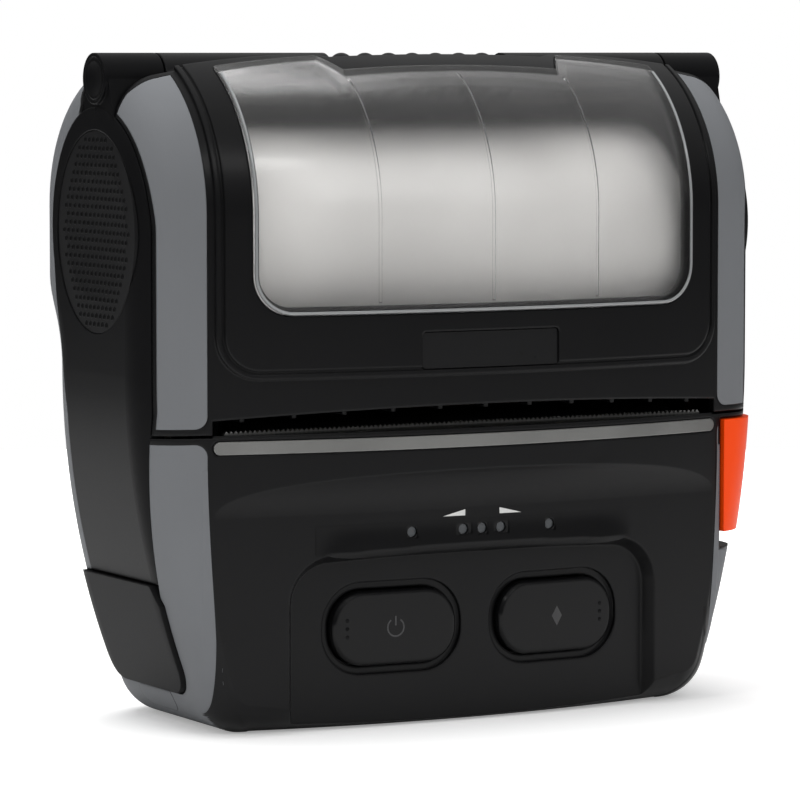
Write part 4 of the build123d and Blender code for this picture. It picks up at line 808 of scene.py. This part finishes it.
@dataclass
class FrontMarks:
    """Generic marks on the front: wedges beside the lights and symbols on the buttons."""

    button_x: float = 19.8
    button_z: float = 21.2
    wedge_near: float = 4.2
    wedge_far: float = 9.6
    wedge_low: float = 44.3
    wedge_high: float = 45.6
    ring_radius: float = 1.9
    ring_width: float = 0.35
    ring_start: float = 125.0
    ring_end: float = 415.0
    stroke_half: float = 0.18
    stroke_low: float = 0.4
    stroke_high: float = 2.4
    diamond_half: float = 1.3
    diamond_reach: float = 2.2

    def marks(self) -> Iterable[tuple[PrintedMark, Body]]:
        """Lists the marks with the bodies that carry them.

        Returns:
            Pairs of a mark and its body.
        """
        for side, name in ((-1, "left"), (1, "right")):
            outline = [(side * self.wedge_near, self.wedge_low), (side * self.wedge_far, self.wedge_low),
                       (side * self.wedge_near, self.wedge_high)]
            yield PrintedMark(f"level_wedge_{name}", outline, "front_case", WHITE_INK), Body.CASE
        x, z = -self.button_x, self.button_z
        ring = ring_strip(x, z, self.ring_radius, self.ring_width, self.ring_start, self.ring_end)
        yield PrintedMark("power_ring", ring, "power_button", GREY_INK), Body.POWER
        left, right = x - self.stroke_half, x + self.stroke_half
        low, high = z + self.stroke_low, z + self.stroke_high
        stroke = [(left, low), (right, low), (right, high), (left, high)]
        yield PrintedMark("power_stroke", stroke, "power_button", GREY_INK), Body.POWER
        x = self.button_x
        diamond = [(x, z - self.diamond_reach), (x + self.diamond_half, z),
                   (x, z + self.diamond_reach), (x - self.diamond_half, z)]
        yield PrintedMark("feed_symbol", diamond, "feed_button", GREY_INK), Body.FEED


@dataclass
class GripDots:
    """Three small raised dots near the outer end of each button."""

    pitch: float = 1.75
    x: float = 31.0
    z: float = 21.4
    radius: float = 0.42
    flatness: float = 0.45

    def build(self, nodes: dict[str, bpy.types.Object]) -> Iterable[tuple[bpy.types.Object, Body]]:
        """Makes the dots of both buttons.

        Args:
            nodes: CAD node objects by name.

        Returns:
            Pairs of a piece and its body.
        """
        for side, node, body in ((-1, "power_button", Body.POWER), (1, "feed_button", Body.FEED)):
            bm = bmesh.new()
            for row in (-1, 0, 1):
                start = Vector((side * self.x, -FAR_MM, self.z + row * self.pitch)) * MM
                point, _ = drop_on(nodes[node], start, BACK)
                place = Matrix.Translation(point) @ Matrix.Scale(self.flatness, 4, BACK)
                bmesh.ops.create_uvsphere(bm, u_segments=14, v_segments=8, radius=self.radius * MM,
                                          matrix=place)
            for face in bm.faces:
                face.smooth = True
            yield mesh_object(f"{node}_dots", bm, BUTTON_CAP), body


@dataclass
class LeverCoil:
    """Coil spring under the release lever."""

    x: float = 66.6
    y: float = -12.0
    low: float = 47.0
    high: float = 57.15
    radius: float = 1.85
    wire: float = 0.35
    turns: int = 6
    steps_per_turn: int = 24

    def build(self) -> bpy.types.Object:
        """Makes the coil.

        Returns:
            The coil's mesh.
        """
        steps = self.turns * self.steps_per_turn
        reach = self.high - self.low - 2 * self.wire
        points = []
        for index in range(steps + 1):
            turn = 2 * math.pi * index / self.steps_per_turn
            points.append(Vector((self.x + self.radius * math.cos(turn),
                                  self.y + self.radius * math.sin(turn),
                                  self.low + self.wire + reach * index / steps)) * MM)
        return tube("lever_coil", points, self.wire, TURNED_STEEL)


@dataclass(frozen=True)
class Lamp:
    """Rectangular soft lamp, placed in metres."""

    name: str
    place: tuple[float, float, float]
    aim: tuple[float, float, float]
    size: tuple[float, float]
    watts: float
    glossy: bool = True

    def build(self) -> None:
        """Hangs the lamp; only a glossy one shows its reflection in shiny surfaces."""
        data = bpy.data.lights.new(self.name, "AREA")
        data.shape = "RECTANGLE"
        data.size, data.size_y = self.size
        data.energy = self.watts
        lamp = bpy.data.objects.new(self.name, data)
        lamp.location = self.place
        lamp.visible_glossy = self.glossy
        lamp.rotation_mode = "QUATERNION"
        lamp.rotation_quaternion = (Vector(self.aim) - Vector(self.place)).to_track_quat("-Z", "Y")
        bpy.context.scene.collection.objects.link(lamp)


LAMPS = (
    Lamp("top_softbox", (-0.05, 0.16, 0.9), (0, 0, 0.08), (0.7, 0.5), 7.0, glossy=False),
    Lamp("front_softbox", (0.35, -1.0, 0.55), (0, 0, 0.08), (0.6, 0.6), 2.7, glossy=False),
    Lamp("left_softbox", (-0.9, -0.1, 0.45), (0, 0, 0.08), (0.5, 0.8), 1.5, glossy=False),
    Lamp("edge_strip", (-0.3, -0.75, 0.7), (0, 0, 0.06), (0.9, 0.1), 1.4),
)


@dataclass
class Studio:
    """Pale floor, soft lights and the camera."""

    camera_place: tuple[float, float, float] = (-0.4634, -0.8278, 0.1425)
    camera_way: tuple[float, float, float] = (0.4845, 0.8711, -0.0799)
    focal_px: float = 4371.4
    frame_px: float = 800.0
    floor_lift: float = 0.3
    floor_radius: float = 0.62
    floor_corners: int = 96
    fade_start: float = 0.15
    fade_end: float = 0.5
    ground_light: float = 0.04
    sky_light: float = 0.7

    def floor(self) -> None:
        """Makes the floor, white to the camera and softly shaded where the printer stands."""
        bm = bmesh.new()
        bmesh.ops.create_circle(bm, cap_ends=True, segments=self.floor_corners,
                                radius=self.floor_radius)
        material = bpy.data.materials.new("floor_paper")
        material.use_nodes = True
        tree = material.node_tree
        tree.nodes.clear()
        matte = add_node(tree, "ShaderNodeBsdfPrincipled", inputs={"Base Color": linear("#f2f2f2"),
                         "Roughness": 0.8, "Specular IOR Level": 0.1})
        coords = add_node(tree, "ShaderNodeTexCoord")
        away = add_node(tree, "ShaderNodeVectorMath", {0: coords.outputs["Object"]}, operation="LENGTH")
        white = add_node(tree, "ShaderNodeMapRange", {"Value": away.outputs["Value"]},
                         {"From Min": self.fade_start, "From Max": self.fade_end,
                          "To Min": self.floor_lift, "To Max": 1.0})
        path = add_node(tree, "ShaderNodeLightPath")
        seen = add_node(tree, "ShaderNodeMath", {0: path.outputs["Is Camera Ray"], 1: white.outputs[0]},
                        operation="MULTIPLY")
        glow = add_node(tree, "ShaderNodeEmission", {"Strength": seen.outputs[0]},
                        {"Color": (1, 1, 1, 1)})
        both = add_node(tree, "ShaderNodeAddShader", {0: matte.outputs[0], 1: glow.outputs[0]})
        add_node(tree, "ShaderNodeOutputMaterial", {0: both.outputs[0]})
        mesh = bpy.data.meshes.new("floor")
        bm.to_mesh(mesh)
        bm.free()
        mesh.materials.append(material)
        floor = bpy.data.objects.new("floor", mesh)
        bpy.context.scene.collection.objects.link(floor)

    def lights(self) -> None:
        """Adds the lamps and the world: white to the camera, and otherwise brighter towards the top."""
        for lamp in LAMPS:
            lamp.build()
        world = bpy.data.worlds.new("studio_white")
        bpy.context.scene.world = world
        world.use_nodes = True
        tree = world.node_tree
        tree.nodes.clear()
        coords = add_node(tree, "ShaderNodeTexCoord")
        height = add_node(tree, "ShaderNodeSeparateXYZ", {0: coords.outputs["Generated"]})
        sky = add_node(tree, "ShaderNodeMapRange", {"Value": height.outputs["Z"]},
                       {"From Min": 0.0, "From Max": 1.0, "To Min": self.ground_light,
                        "To Max": self.sky_light})
        path = add_node(tree, "ShaderNodeLightPath")
        seen = add_node(tree, "ShaderNodeMath", {0: path.outputs["Is Camera Ray"],
                        1: path.outputs["Is Transmission Ray"]}, operation="MAXIMUM")
        strength = add_node(tree, "ShaderNodeMapRange", {"Value": seen.outputs[0],
                            "To Min": sky.outputs[0]}, {"To Max": 1.0})
        ground = add_node(tree, "ShaderNodeBackground", {"Strength": strength.outputs[0]},
                          {"Color": (1, 1, 1, 1)})
        add_node(tree, "ShaderNodeOutputWorld", {0: ground.outputs[0]})

    def camera(self) -> None:
        """Puts the camera at the photograph's viewing angle."""
        data = bpy.data.cameras.new("camera")
        data.sensor_width = 36.0
        data.lens = self.focal_px * data.sensor_width / self.frame_px
        data.clip_start, data.clip_end = 0.05, 20.0
        camera = bpy.data.objects.new("camera", data)
        camera.location = self.camera_place
        camera.rotation_mode = "QUATERNION"
        camera.rotation_quaternion = Vector(self.camera_way).to_track_quat("-Z", "Y")
        bpy.context.scene.collection.objects.link(camera)
        bpy.context.scene.camera = camera


def dress_nodes(nodes: dict[str, bpy.types.Object]) -> None:
    """Gives each CAD node its finish.

    Args:
        nodes: CAD node objects by name.
    """
    left = set(nodes)
    for finish, names in NODE_FINISHES.items():
        for name in names:
            mesh = nodes[name].data
            mesh.materials.clear()
            mesh.materials.append(finish.material())
            left.discard(name)
    for name in left:
        LOG.warning("no finish for %s", name)


def attach(piece: bpy.types.Object, body: Body, slot: str) -> None:
    """Lets a piece ride on a body.

    Args:
        piece: The piece.
        body: Its body.
        slot: Name of a material slot; not used.
    """
    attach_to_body(piece, body.value)
    LOG.info("%s rides on %s", piece.name, body.value)


def main() -> None:
    """Loads the frame, dresses it, adds the detail pieces, the studio and the camera."""
    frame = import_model()
    nodes = frame["nodes"]
    dress_nodes(nodes)
    for side, node in ((-1, "left_side_disc"), (1, "right_side_disc")):
        attach(DimpleDisc(side, node).build(nodes), Body.CASE, "case_black")
    for patch, slot in CaseSkins().patches():
        attach(patch.build(nodes), Body.CASE, slot)
    attach(WindowBead().build(nodes), Body.COVER, "window_clear")
    for mark, body in FrontMarks().marks():
        attach(mark.build(nodes), body, "button_black" if body != Body.CASE else "paper_white")
    for piece, body in GripDots().build(nodes):
        attach(piece, body, "button_black")
    coil = LeverCoil().build()
    attach(coil, Body.CASE, "spring_steel")
    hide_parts("lever_spring")
    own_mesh(coil)
    studio = Studio()
    studio.floor()
    studio.lights()
    studio.camera()
    bpy.context.scene.view_settings.view_transform = "Standard"


if __name__ == "__main__":
    main()
